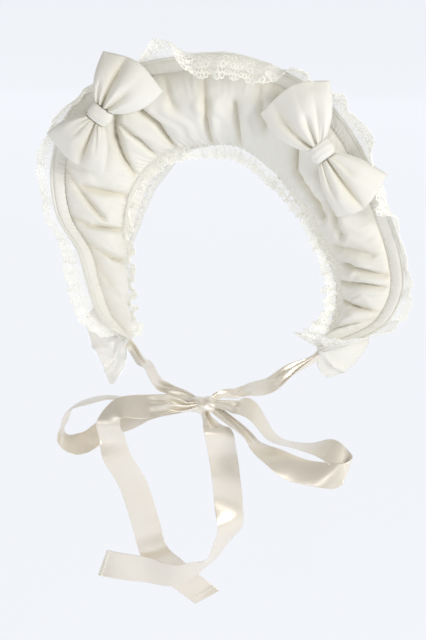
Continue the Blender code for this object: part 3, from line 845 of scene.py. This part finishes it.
def dressLace(bm, lace, name, lift, *nodes):
    # the flat lace is sewn to its line, leans and curls over as its table says, and ruffles
    length = lace["period"] * lace["count"]
    markCloth(bm, lambda spot: (spot.x * mm, spot.y * mm))
    flat = np.array([vert.co[:] for vert in bm.verts])
    u, w = flat[:, 0] / length, flat[:, 1]
    place = lace["ends"][0] + (lace["ends"][1] - lace["ends"][0]) * u
    leanStart, leanEnd, width, height = lookedUp(lace["table"], place)
    edge, away, front = laceLine(place, lace["outward"])
    start = edge + away * lace["start"][0] + front * lace["start"][1]
    t = w / lace["width"]
    low, change = np.radians(leanStart), np.radians(leanEnd - leanStart)
    change = np.where(np.abs(change) < 1e-3, 1e-3, change)
    out = (np.sin(low + change * t) - np.sin(low)) / change * width
    up = (np.cos(low) - np.cos(low + change * t)) / change * width
    lean = low + change * t
    side = front * np.cos(lean)[:, None] - away * np.sin(lean)[:, None]
    ahead = laceLine(np.minimum(place + 0.002, 1), lace["outward"])[0]
    behind = laceLine(np.maximum(place - 0.002, 0), lace["outward"])[0]
    run = unit(ahead - behind)
    drift = ruffle["drift"] * wobble(place, lace["seed"], (5.0, 11.0, 23.0))
    phase = 2 * math.pi * (lace["ruffles"] * place + drift)
    swing = height * (0.85 + ruffle["uneven"] * wobble(place, lace["seed"] + 1, (7.0, 15.0)))
    grow = t ** ruffle["growth"]
    wave = swing * grow * np.sin(phase)
    curl = ruffle["curl"] * swing * grow * np.sin(2 * phase)
    flutter = ruffle["flutter"] * grow * np.sin(phase * 2.7 + 1.0)
    points = start + away * out[:, None] + front * up[:, None]
    points += side * (wave + flutter + lift)[:, None] - run * curl[:, None]
    placeVerts(bm.verts, points)
    piece = finishPiece(bm, name, thread, "ivory_lace", *nodes)
    thicken(piece, lace["thick"])
    return piece


outerLace = {
    "outward": True,
    "ends": (0.006, 0.994),
    "start": (3.0, 1.5),      # from the rim, outwards and to the front
    "table": (                # place, lean at the seam and at the edge, width, ruffle height
        (0.00, -70, -60, 14, 2.0),
        (0.06, -75, -70, 22, 3.0),
        (0.13, -70, -60, 20, 4.0),
        (0.19, -50, -45, 12, 3.5),
        (0.24, -30, -30, 10, 3.0),
        (0.28, -5, -10, 13, 3.5),
        (0.32, 30, 70, 13, 3.0),
        (0.36, 50, 130, 15, 2.5),
        (0.41, 50, 110, 17, 3.0),
        (0.437, 5, 25, 27, 3.5),
        (0.45, 15, 70, 30, 3.5),
        (0.465, 50, 165, 37, 2.5),
        (0.535, 50, 160, 36, 2.5),
        (0.56, 30, 80, 28, 4.0),
        (0.60, 25, 35, 22, 3.5),
        (0.66, 20, 35, 25, 4.0),
        (0.70, 20, 120, 25, 3.0),
        (0.72, 30, 150, 24, 3.0),
        (0.735, 20, 60, 12, 2.0),
        (0.76, 20, 40, 5, 1.0),
        (0.81, 10, 20, 5, 1.0),
        (0.85, 0, 10, 10, 2.5),
        (0.90, 0, 20, 16, 3.5),
        (0.95, 30, 90, 22, 3.5),
        (1.00, 60, 150, 21, 2.5),
    ),
    "ruffles": 24,
    "seed": 41,
    "period": 18.0,
    "count": 56,
    "width": 26.0,
    "scallop": 5.0,
    "edging": 1.2,            # how far inside the scallops the net ends
    "mesh": 2.6,
    "line": 0.12,
    "cord": 0.95,
    "thick": 0.3,
    "raised": 0.3,            # how far the needlework stands off the net
    "threadShare": 0.46,      # the share of the flat pattern that is thread, not holes
    "rosetteAt": 17.0,
    "petals": 6,
    "petal": 2.6,
    "ring": 2.3,
    "edgeRings": 5,
    "leaf": 1.9,
    "leafShape": 0.42,
    "leaves": ((0.12, 0.62, 60), (0.88, 0.62, -60), (0.10, 0.42, 20), (0.90, 0.42, -20),
               (0.30, 0.38, 45), (0.70, 0.38, -45), (0.5, 0.30, 90), (0.02, 0.52, 90)),
}

innerLace = {
    "outward": False,
    "ends": (0.006, 0.994),
    "start": (0.65, 0.8),
    "table": (
        (0.00, 50, 90, 15, 3.0),
        (0.08, 60, 140, 18, 3.5),
        (0.22, 60, 140, 18, 3.5),
        (0.30, 50, 90, 16, 3.0),
        (0.36, 40, 40, 14, 3.0),
        (0.42, 20, 30, 14, 3.5),
        (0.56, 20, 40, 14, 3.5),
        (0.64, 40, 50, 14, 3.0),
        (0.72, 50, 50, 16, 3.0),
        (0.80, 70, 60, 20, 4.5),
        (0.88, 80, 60, 23, 5.0),
        (0.94, 80, 40, 27, 5.0),
        (1.00, 60, 20, 25, 4.0),
    ),
    "ruffles": 27,
    "seed": 51,
    "period": 12.0,
    "count": 62,
    "width": 13.0,
    "scallop": 2.6,
    "edging": 1.2,
    "mesh": 2.4,
    "line": 0.12,
    "cord": 0.8,
    "thick": 0.3,
    "raised": 0.3,
    "threadShare": 0.5,
    "rosetteAt": 8.0,
    "petals": 5,
    "petal": 1.7,
    "ring": 2.1,
    "edgeRings": 3,
    "leaf": 1.2,
    "leafShape": 0.42,
    "leaves": ((0.08, 0.60, 60), (0.92, 0.60, -60), (0.25, 0.30, 30), (0.75, 0.30, -30)),
}


def makeLace(lace, name):
    net = dressLace(repeated(netOf(lace), lace), lace, name + "_net", 0.0, name)
    work = dressLace(repeated(needleworkOf(lace), lace), lace, name + "_needlework", lace["raised"])


makeLace(outerLace, "outer_lace")
makeLace(innerLace, "inner_lace")
print("lace made")


bowLoops = {
    # the far edge, how far it and the near side bulge, and creases as place, depth and reach
    "left_bow_upper_loop": {
        "knot": "left_bow_knot",
        "side": 1,
        "far": ((-43, -54, 54), (-64, -60, 79), (-95, -54, 87)),
        "bulge": (8.0, 5.0),
        "creases": ((0.30, 10.0, 1.1), (-0.34, 5.5, 0.62), (0.72, 3.5, 0.5)),
    },
    "left_bow_lower_loop": {
        "knot": "left_bow_knot",
        "side": -1,
        "far": ((-97, -52, -17), (-122, -56, -9), (-148, -50, 15)),
        "bulge": (4.0, 5.0),
        "creases": ((-0.16, 9.5, 1.1), (0.40, 4.0, 0.55), (-0.62, 3.0, 0.7)),
    },
    "right_bow_upper_loop": {
        "knot": "right_bow_knot",
        "side": -1,
        "far": ((40, -50, 37), (68, -56, 62), (98.5, -52, 66)),
        "bulge": (8.0, 5.0),
        "creases": ((-0.58, 8.5, 1.0), (0.06, 5.0, 0.55), (0.50, 3.5, 0.8)),
    },
    "right_bow_lower_loop": {
        "knot": "right_bow_knot",
        "side": 1,
        "far": ((106, -50, -49), (130, -53, -40), (148, -46, -12)),
        "bulge": (4.0, 3.5),
        "creases": ((-0.06, 9.5, 1.1), (-0.66, 6.0, 0.7), (0.48, 4.0, 0.55)),
    },
}
bowKnots = {
    # the centre before the bow is laid on the brim, half sizes along it, across it and outwards
    "left_bow_knot": {"centre": (-97, -60, 34), "half": (6.5, 11, 8), "turn": 55},
    "right_bow_knot": {"centre": (93.5, -56, 7), "half": (6.5, 11, 8), "turn": -52},
}
bow = {
    "front": 9.5,             # how far a loop swells to the front and to the back
    "back": 4.0,
    "edge": 2.2,
    "creaseWidth": 0.15,
    # painted shade strength in the creases and at the knot
    "paintedShade": 0.5,
    "pinch": 0.42,            # the share of the swell that is left at the knot
    "squareness": 2.4,
    "root": 0.8,              # the loop's width at the knot, as a share of the knot's
    "gap": 0.7,
    "columns": 44,
    "rows": 44,
    "pleats": 4.5,
    "pleatHeight": 1.5,
    "growth": 1.12,           # the cloth is this much larger than the loop's first shape
    "tack": 0.6,              # how firmly the creases and the far edge are held
    "fill": 0.5,
    "settle": {"frames": 16, "quality": 5, "mass": 0.3, "tension": 15.0, "compression": 4.0,
               "shear": 3.0, "bending": 2.0, "damping": 2.0, "pressure": 3.0, "cap": 3.0},
    "weave": (60.0, 60.0),
}


def bowAxes(knot):
    turn = math.radians(knot["turn"])
    return (np.array((math.cos(turn), 0.0, math.sin(turn))),
            np.array((-math.sin(turn), 0.0, math.cos(turn))))


def seated(name):
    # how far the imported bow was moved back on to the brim, from its knot's box in the frame
    low, high = (np.array(corner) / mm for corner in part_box(name))
    return np.array((0.0, (low[1] + high[1]) / 2 - bowKnots[name]["centre"][1], 0.0))


def makeBowLoop(name, table):
    knot = bowKnots[table["knot"]]
    alongBow, across = bowAxes(knot)
    halfAlong, halfAcross, _ = knot["half"]
    middle = np.array(knot["centre"], float) + alongBow * table["side"] * (halfAlong + bow["gap"])
    reach = across * halfAcross * bow["root"]
    near = np.stack([middle - reach, middle, middle + reach])
    far = np.array(table["far"], float)
    outNear, outFar = unit(far[1] - near[1]), unit(far[2] - far[0])
    out = unit(np.cross(outFar, outNear))
    out = out if out[1] < 0 else -out
    shift = seated(table["knot"])

    def base(u, v):
        c = 2 * v - 1
        low, high = table["bulge"]
        bulge = (high * np.maximum(c, 0) + low * np.minimum(c, 0)) * np.sin(math.pi * u**0.75)
        start, end = along(near, v), along(far, v)
        return start + (end - start) * u[:, None] + outFar * bulge[:, None] + shift

    def swell(u):
        return bow["pinch"] + (1 - bow["pinch"]) * np.sin(math.pi * np.minimum(u * 0.85 + 0.1, 1.0))

    def roundOff(v):
        return np.maximum(1 - np.abs(2 * v - 1) ** bow["squareness"], 0.0) ** 0.5

    def creased(u, v):
        # how deep the creases are that run out from the knot, in mm
        cut = np.zeros_like(u)
        for at, depth, reach in table["creases"]:
            away = np.abs(2 * v - 1 - at * (0.75 + 0.25 * u)) / (bow["creaseWidth"] * (0.5 + 0.7 * u))
            fade = 1 - 0.85 * smoothStep(0.55 * reach, 1.05 * reach, u)
            cut = np.maximum(cut, depth * np.exp(-away) * fade * roundOff(v))
        return cut

    def front(u, v):
        height = bow["edge"] + bow["front"] * swell(u) * roundOff(v) * (1 - 0.55 * u**5)
        height = height - creased(u, v)
        pleat = bow["pleatHeight"] * (1 - u) ** 2.2 * np.cos(2 * math.pi * bow["pleats"] * v)
        height = height + pleat * roundOff(v)
        return base(u, v) + out * np.maximum(height, 0.8)[:, None]

    def back(u, v):
        height = bow["edge"] * 0.3 + bow["back"] * swell(u) * roundOff(v) * (1 - 0.6 * u**4)
        return base(u, v) - out * height[:, None]

    bm = padOf(bow["columns"], bow["rows"], *bow["weave"], front, back)
    piece = finishPiece(bm, name.replace("_loop", "_pouch"), cotton, "ivory_cotton", name)
    u, v = padShares(bow["columns"], bow["rows"])
    cut = creased(u, v)
    held = np.maximum(1 - smoothStep(0.03, 0.12, u), bow["tack"] * (u > 0.97))
    held = np.concatenate([held, np.maximum(held, bow["tack"] * (cut > 0.45 * np.max(cut)))])
    # painted shade: darker in the creases and towards the knot
    deep = bow["paintedShade"] * (cut / cottonLook["fullShadeDepth"] + 0.5 * np.exp(-u / 0.08))
    markPaintedFoldShade(piece, np.concatenate([u * 0, deep]))
    letSettle(piece, pointsOf(piece.data) * bow["growth"], held, bow["settle"])
    soften(piece)


bowBand = {
    "around": 64,
    "along": 24,
    "weave": (60.0, 13.0),
    "squareness": 0.8,        # 1 makes its section an oval, less makes it boxy
    "swell": 0.16,            # how much thicker its middle is than its ends
    "folds": 2.6,
    "foldHeight": 0.2,
    "edge": 1.5,
}


def makeBowKnot(name, table):
    alongBow, across = bowAxes(table)
    halfAlong, halfAcross, halfOut = table["half"]
    centre = np.array(table["centre"], float) + seated(name)

    def wrapped(u, v):
        # u goes round the knot and v along the bow
        s = 2 * v - 1
        angle = 2 * math.pi * u
        size = 1 - bowBand["swell"] * s**2
        wide = np.copysign(np.abs(np.cos(angle)) ** bowBand["squareness"], np.cos(angle))
        deep = np.copysign(np.abs(np.sin(angle)) ** bowBand["squareness"], np.sin(angle))
        turns = bowBand["folds"] * v + 0.4 * np.sin(angle)
        fold = bowBand["foldHeight"] * np.sin(2 * math.pi * turns)
        return (centre + alongBow * (halfAlong * s)[:, None]
                + across * (halfAcross * size * wide)[:, None]
                + np.array((0.0, -1.0, 0.0)) * (halfOut * size * deep + fold)[:, None])

    bm = flatSheet(bowBand["around"], bowBand["along"], *bowBand["weave"])
    layOut(bm.verts[:], wrapped)
    closeTube(bm, bowBand["edge"])
    piece = finishPiece(bm, name.replace("_knot", "_band"), cotton, "ivory_cotton", name)


for loopName, loopTable in bowLoops.items():
    makeBowLoop(loopName, loopTable)
for knotName, knotTable in bowKnots.items():
    makeBowKnot(knotName, knotTable)
print("bows made")


ribbons = {
    # the middle of the ribbon, x, y, z, and the vector across it
    "left_strap": (
        (-84, -3, -189, -1, -14, -3),
        (-68, -28, -195, 0, -23, -1),
        (-54, -50, -200, 0, -24, -2),
        (-39, -63, -204, -1, -18, -2),
        (-19, -77, -206, 0, -9, -1),
    ),
    "right_strap": (
        (79, -3, -190, -2, -11, -4),
        (59, -22, -198, 8, -17, -6),
        (40, -42, -206, 12, -20, -6),
        (24, -60, -208, 10, -17, -3),
        (13, -73, -205, 2, -9, -1),
    ),
    "left_tail": (
        (-15, -97, -212, 1, -7, -5),
        (-32, -104, -208, 3, -13, -14),
        (-59, -106, -211, 14, -12, -17),
        (-75, -109, -216, 17, -17, -5),
        (-79, -112, -225, 23, -9, 1),
        (-78, -112, -237, 24, -5, 5),
        (-74, -109, -254, 24, 1, 7),
        (-62, -105, -278, 24, 5, 5),
        (-55, -101, -302, 24, 6, 3),
        (-50, -97, -327, 24, 4, 5),
        (-45, -93, -346, 22, 4, 11),
        (-32, -86, -364, 21, 6, 12),
        (-19, -79, -379, 21, 7, 12),
        (-1, -74, -395, 21, 7, 12),
    ),
    "right_tail": (
        (4, -93, -221, -8, -4, 0),
        (13, -99, -229, -22, -9, 0),
        (17, -100, -244, -24, -7, 0),
        (21, -102, -267, -24, -5, -1),
        (24, -104, -291, -24, -6, 0),
        (25, -106, -311, -20, -15, 3),
        (20, -108, -329, -9, -23, 5),
        (8, -109, -345, -1, -23, 10),
        (-9, -108, -356, -2, -15, 20),
        (-32, -106, -362, 0, -6, 24),
        (-58, -103, -361, 4, 0, 25),
        (-91, -99, -359, 8, 2, 24),
    ),
    "left_chin_loop": (
        (-19, -81, -209, 1, -8, 0),
        (-42, -84, -208, 3, -21, 2),
        (-77, -84, -211, 5, -24, 3),
        (-101, -88, -213, 5, -24, 2),
        (-119, -93, -222, 1, -25, 3),
        (-128, -95, -236, 1, -25, 2),
        (-124, -95, -248, 0, -24, -4),
        (-112, -95, -251, 0, -21, -13),
        (-95, -93, -243, 4, -16, -18),
        (-74, -90, -232, 6, -22, -8),
        (-46, -85, -221, 5, -21, -3),
        (-19, -82, -215, 1, -8, -1),
    ),
    "right_chin_loop": (
        (15, -88, -209, 1, -9, -1),
        (34, -88, -211, -1, -23, -9),
        (52, -93, -224, -1, -25, -2),
        (67, -97, -236, -1, -25, 3),
        (90, -101, -237, -4, -24, 0),
        (111, -106, -240, -6, -20, -13),
        (126, -112, -248, -4, -16, -19),
        (124, -119, -255, -10, -8, -22),
        (107, -121, -255, -15, -8, -19),
        (81, -119, -251, -12, -18, -13),
        (57, -111, -244, -5, -24, -4),
        (37, -98, -231, -2, -20, 2),
        (16, -86, -215, -1, -9, -1),
    ),
}
ribbon = {
    "width": 25.0,
    "thick": 0.5,
    "rows": 24,
    "step": 2.0,
    "pleats": 2,
    "narrowest": 4.0,
    "cup": 0.6,               # how far its middle stands off its edges
    "ripple": 0.6,
    "wave": 2.6,
    "hemLength": 8.0,
    "near": 26.0,             # an end this near the knot's middle goes on into the knot
    "tuck": 11.0,
    "sewnAt": {"left_strap": (-92, 3, -182, -1, -8, -5), "right_strap": (87, 2, -183, -2, -7, -6)},
}


def tucked(name, rows):
    # the rows, with an end that is near the chin knot carried on into it, and the other end of a
    # strap carried on to where it is sewn on behind the brim
    if name in ribbon["sewnAt"]:
        rows = np.insert(rows, 0, ribbon["sewnAt"][name], axis=0)
    centre = np.array(chinKnot["centre"], float)
    for end, add in ((0, 0), (-1, len(rows))):
        course = centre - rows[end, :3]
        if np.linalg.norm(course) < ribbon["near"]:
            spot = rows[end, :3] + course * ribbon["tuck"] / np.linalg.norm(course)
            rows = np.insert(rows, add, np.concatenate([spot, rows[end, 3:] * 0.8]), axis=0)
    return rows


tailEnds = {
    # how the end is finished: stitches from the end, their number, length and turns, and the hem
    "left_tail": {"at": 6.5, "stitches": 12, "size": 0.85, "turns": (0, 0), "hem": 0.6},
    "right_tail": {"at": 3.0, "stitches": 14, "size": 1.35, "turns": (58, -58), "hem": 0.0},
}
stitch = {"shape": 0.24, "thick": 0.25, "lift": 0.55}


def makeEndStitches(name, table, length, shape):
    # a row of stitches across the ribbon, in a line on the hem and in a zigzag on the cut end
    bm = bmesh.new()
    for k in range(table["stitches"]):
        across = (k + 0.5) / table["stitches"] * ribbon["width"]
        turn = math.radians(90 + table["turns"][k % 2])
        addStitch(bm, (length - table["at"], across), table["size"], turn, stitch["shape"])
    flat = np.array([vert.co[:] for vert in bm.verts])
    placeVerts(bm.verts, shape(flat[:, 0] / length, flat[:, 1] / ribbon["width"], stitch["lift"]))
    thicken(finishPiece(bm, name + "_end_stitches", thread, "ivory_lace"), stitch["thick"])


def makeRibbon(name, table):
    rows = tucked(name, np.array(table, float))
    length = np.linalg.norm(np.diff(rows[:, :3], axis=0), axis=1).sum()
    hem = tailEnds[name]["hem"] if name in tailEnds else 0.0
    hemLength = ribbon["hemLength"]
    last = rows[-1] - rows[-2]
    facing = 1.0 if np.cross(last[:3], rows[-1, 3:])[1] < 0 else -1.0

    def shape(u, v, lift=0.0):
        row = along(rows, u)
        ahead, behind = along(rows, np.minimum(u + 0.01, 1)), along(rows, np.maximum(u - 0.01, 0))
        normal = unit(np.cross(ahead[:, :3] - behind[:, :3], row[:, 3:]))
        c = 2 * v - 1
        # where the ribbon is gathered, pleats take up its spare width
        wide = np.maximum(np.linalg.norm(row[:, 3:], axis=1), ribbon["narrowest"])
        slope = np.sqrt(np.maximum((ribbon["width"] / wide) ** 2 - 1.2, 0.0) / 0.38)
        pleats = wide * slope / (2 * math.pi * ribbon["pleats"])
        pleats = pleats * np.cos(2 * math.pi * ribbon["pleats"] * v)
        cup = ribbon["cup"] * (1 - c**2)
        ripple = ribbon["ripple"] * wobble(u, 61, (2.3, 4.9)) * c
        # the long waves along it, in turns for each 100 mm, are where it lies open
        ripple += ribbon["wave"] * wobble(u * length / 100, 62, (1.4, 2.6)) * smoothStep(12, 24, wide)
        lift = lift + hem * smoothStep(hemLength, hemLength - 0.8, (1 - u) * length)
        out = cup + ripple + pleats + facing * lift
        return row[:, :3] + row[:, 3:] * (c / 2)[:, None] + normal * out[:, None]

    bm = flatSheet(int(length / ribbon["step"]), ribbon["rows"], length, ribbon["width"])
    layOut(bm.verts[:], shape)
    piece = finishPiece(bm, name + "_ribbon", satin, "ivory_satin", name)
    thicken(piece, ribbon["thick"])
    soften(piece)
    if name in tailEnds:
        makeEndStitches(name, tailEnds[name], length, shape)


chinKnot = {
    "centre": (-2, -86, -211.5),
    "half": (12.0, 8.5, 7.5),
    "around": 64,
    "along": 32,
    "weave": (50.0, 22.0),
    "narrowing": 0.32,
    "slant": 2.0,
    "folds": 2.0,
    "foldShare": 0.09,
    "lean": 2.2,
    "edge": 1.2,
    "fill": 0.8,
}


def makeChinKnot():
    centre = np.array(chinKnot["centre"], float)
    wide, deep, high = chinKnot["half"]

    def wrap(u, v):
        # u goes round the knot and v along it; its folds run round it on a slant
        s = 2 * v - 1
        angle = 2 * math.pi * u
        size = 1 - chinKnot["narrowing"] * s**2
        slant = chinKnot["slant"] * np.sin(angle)
        turns = chinKnot["folds"] * v + 0.5 * slant
        fold = 1 + chinKnot["foldShare"] * np.sin(2 * math.pi * turns)
        lean = chinKnot["lean"] * np.sin(angle) * (1 - s**2)
        return centre + np.stack([wide * s * 0.92 + lean, deep * size * fold * np.cos(angle),
                                  high * size * fold * np.sin(angle)], 1)

    bm = flatSheet(chinKnot["around"], chinKnot["along"], *chinKnot["weave"])
    layOut(bm.verts[:], wrap)
    closeTube(bm, chinKnot["edge"])
    piece = finishPiece(bm, "chin_knot_wrap", satin, "ivory_satin", "chin_knot")
    soften(piece)


for ribbonName, ribbonTable in ribbons.items():
    makeRibbon(ribbonName, ribbonTable)
makeChinKnot()
print("ties made")


view = {
    "camera": (299.1, -1462.0, 215.2),
    "target": (-3.5, -38.4, -147.7),
    "lens": 95.88,
    "paper": (0.12, 0.12, 0.125),
    "paperGlow": (0.80, 0.82, 0.865),   # the paper is lit evenly from behind
    "world": (0.985, 0.95, 0.865),
    "worldStrength": 0.33,
}
backdrop = {"width": 14000, "floor": -560.0, "front": -3000, "bend": 5100, "radius": 900, "wall": 6000}
lights = {
    "key light": {"from": (1500, -1000, 480), "at": (0, 0, -100), "size": 0.9, "watts": 18.0,
                  "colour": (1.0, 0.99, 0.97)},
    "front light": {"from": (-150, -1900, 350), "at": (0, 0, -150), "size": 0.22, "watts": 3.0},
    "low light": {"from": (900, -1200, -900), "at": (0, 0, -250), "size": 1.0, "watts": 1.8},
    "kicker": {"from": (-900, -1300, -500), "at": (-112, 0, -205), "size": 0.1, "watts": 0.011,
               "spread": 6.0},
    "left light": {"from": (-1700, -700, 150), "at": (-110, 0, -40), "size": 0.6, "watts": 3.6},
}


def aimed(thing, target):
    away = thing.location - Vector(target) * mm
    thing.rotation_mode = "QUATERNION"
    thing.rotation_quaternion = away.to_track_quat("Z", "Y")


def makeStage():
    # the paper lies flat for the first half of its rows, bends up for a sixth, and then stands
    front, bend, radius = backdrop["front"], backdrop["bend"], backdrop["radius"]
    bm = bmesh.new()
    bmesh.ops.create_grid(bm, x_segments=2, y_segments=60, size=0.5)
    for vert in bm.verts:
        t = (vert.co.y + 0.5) * 3
        if t < 1.5:
            y, z = front + (bend - front) * t / 1.5, 0
        elif t < 2:
            angle = (t - 1.5) * math.pi
            y, z = bend + radius * math.sin(angle), radius * (1 - math.cos(angle))
        else:
            y, z = bend + radius, radius + (t - 2) * backdrop["wall"]
        vert.co = Vector((vert.co.x * backdrop["width"], y, z + backdrop["floor"])) * mm
    mesh = bpy.data.meshes.new("paper backdrop")
    bm.to_mesh(mesh)
    bm.free()
    mesh.shade_smooth()
    paper, nodes, links, shader = newMaterial("pale paper", view["paper"], 0.9)
    shader.inputs["Emission Color"].default_value = (*view["paperGlow"], 1.0)
    shader.inputs["Emission Strength"].default_value = 1.0
    mesh.materials.append(paper)
    stage = bpy.data.objects.new("backdrop", mesh)
    bpy.context.scene.collection.objects.link(stage)


def makeLight(name, table):
    data = bpy.data.lights.new(name, "AREA")
    data.shape = "DISK"
    data.size = table["size"]
    data.energy = table["watts"]
    data.color = table.get("colour", (1.0, 1.0, 1.0))
    data.spread = math.radians(table.get("spread", 180.0))
    light = bpy.data.objects.new(name, data)
    bpy.context.scene.collection.objects.link(light)
    light.location = Vector(table["from"]) * mm
    aimed(light, table["at"])


def makeCamera():
    data = bpy.data.cameras.new("camera")
    data.lens = view["lens"]
    data.clip_end = 20.0
    camera = bpy.data.objects.new("camera", data)
    bpy.context.scene.collection.objects.link(camera)
    camera.location = Vector(view["camera"]) * mm
    aimed(camera, view["target"])
    bpy.context.scene.camera = camera


def makeWorld():
    world = bpy.data.worlds.new("soft room")
    bpy.context.scene.world = world
    world.use_nodes = True
    sky = world.node_tree.nodes["Background"]
    sky.inputs["Color"].default_value = (*view["world"], 1.0)
    sky.inputs["Strength"].default_value = view["worldStrength"]
    bpy.context.scene.view_settings.view_transform = "Standard"


makeStage()
for lightName, lightTable in lights.items():
    makeLight(lightName, lightTable)
makeCamera()
makeWorld()
print("stage made")
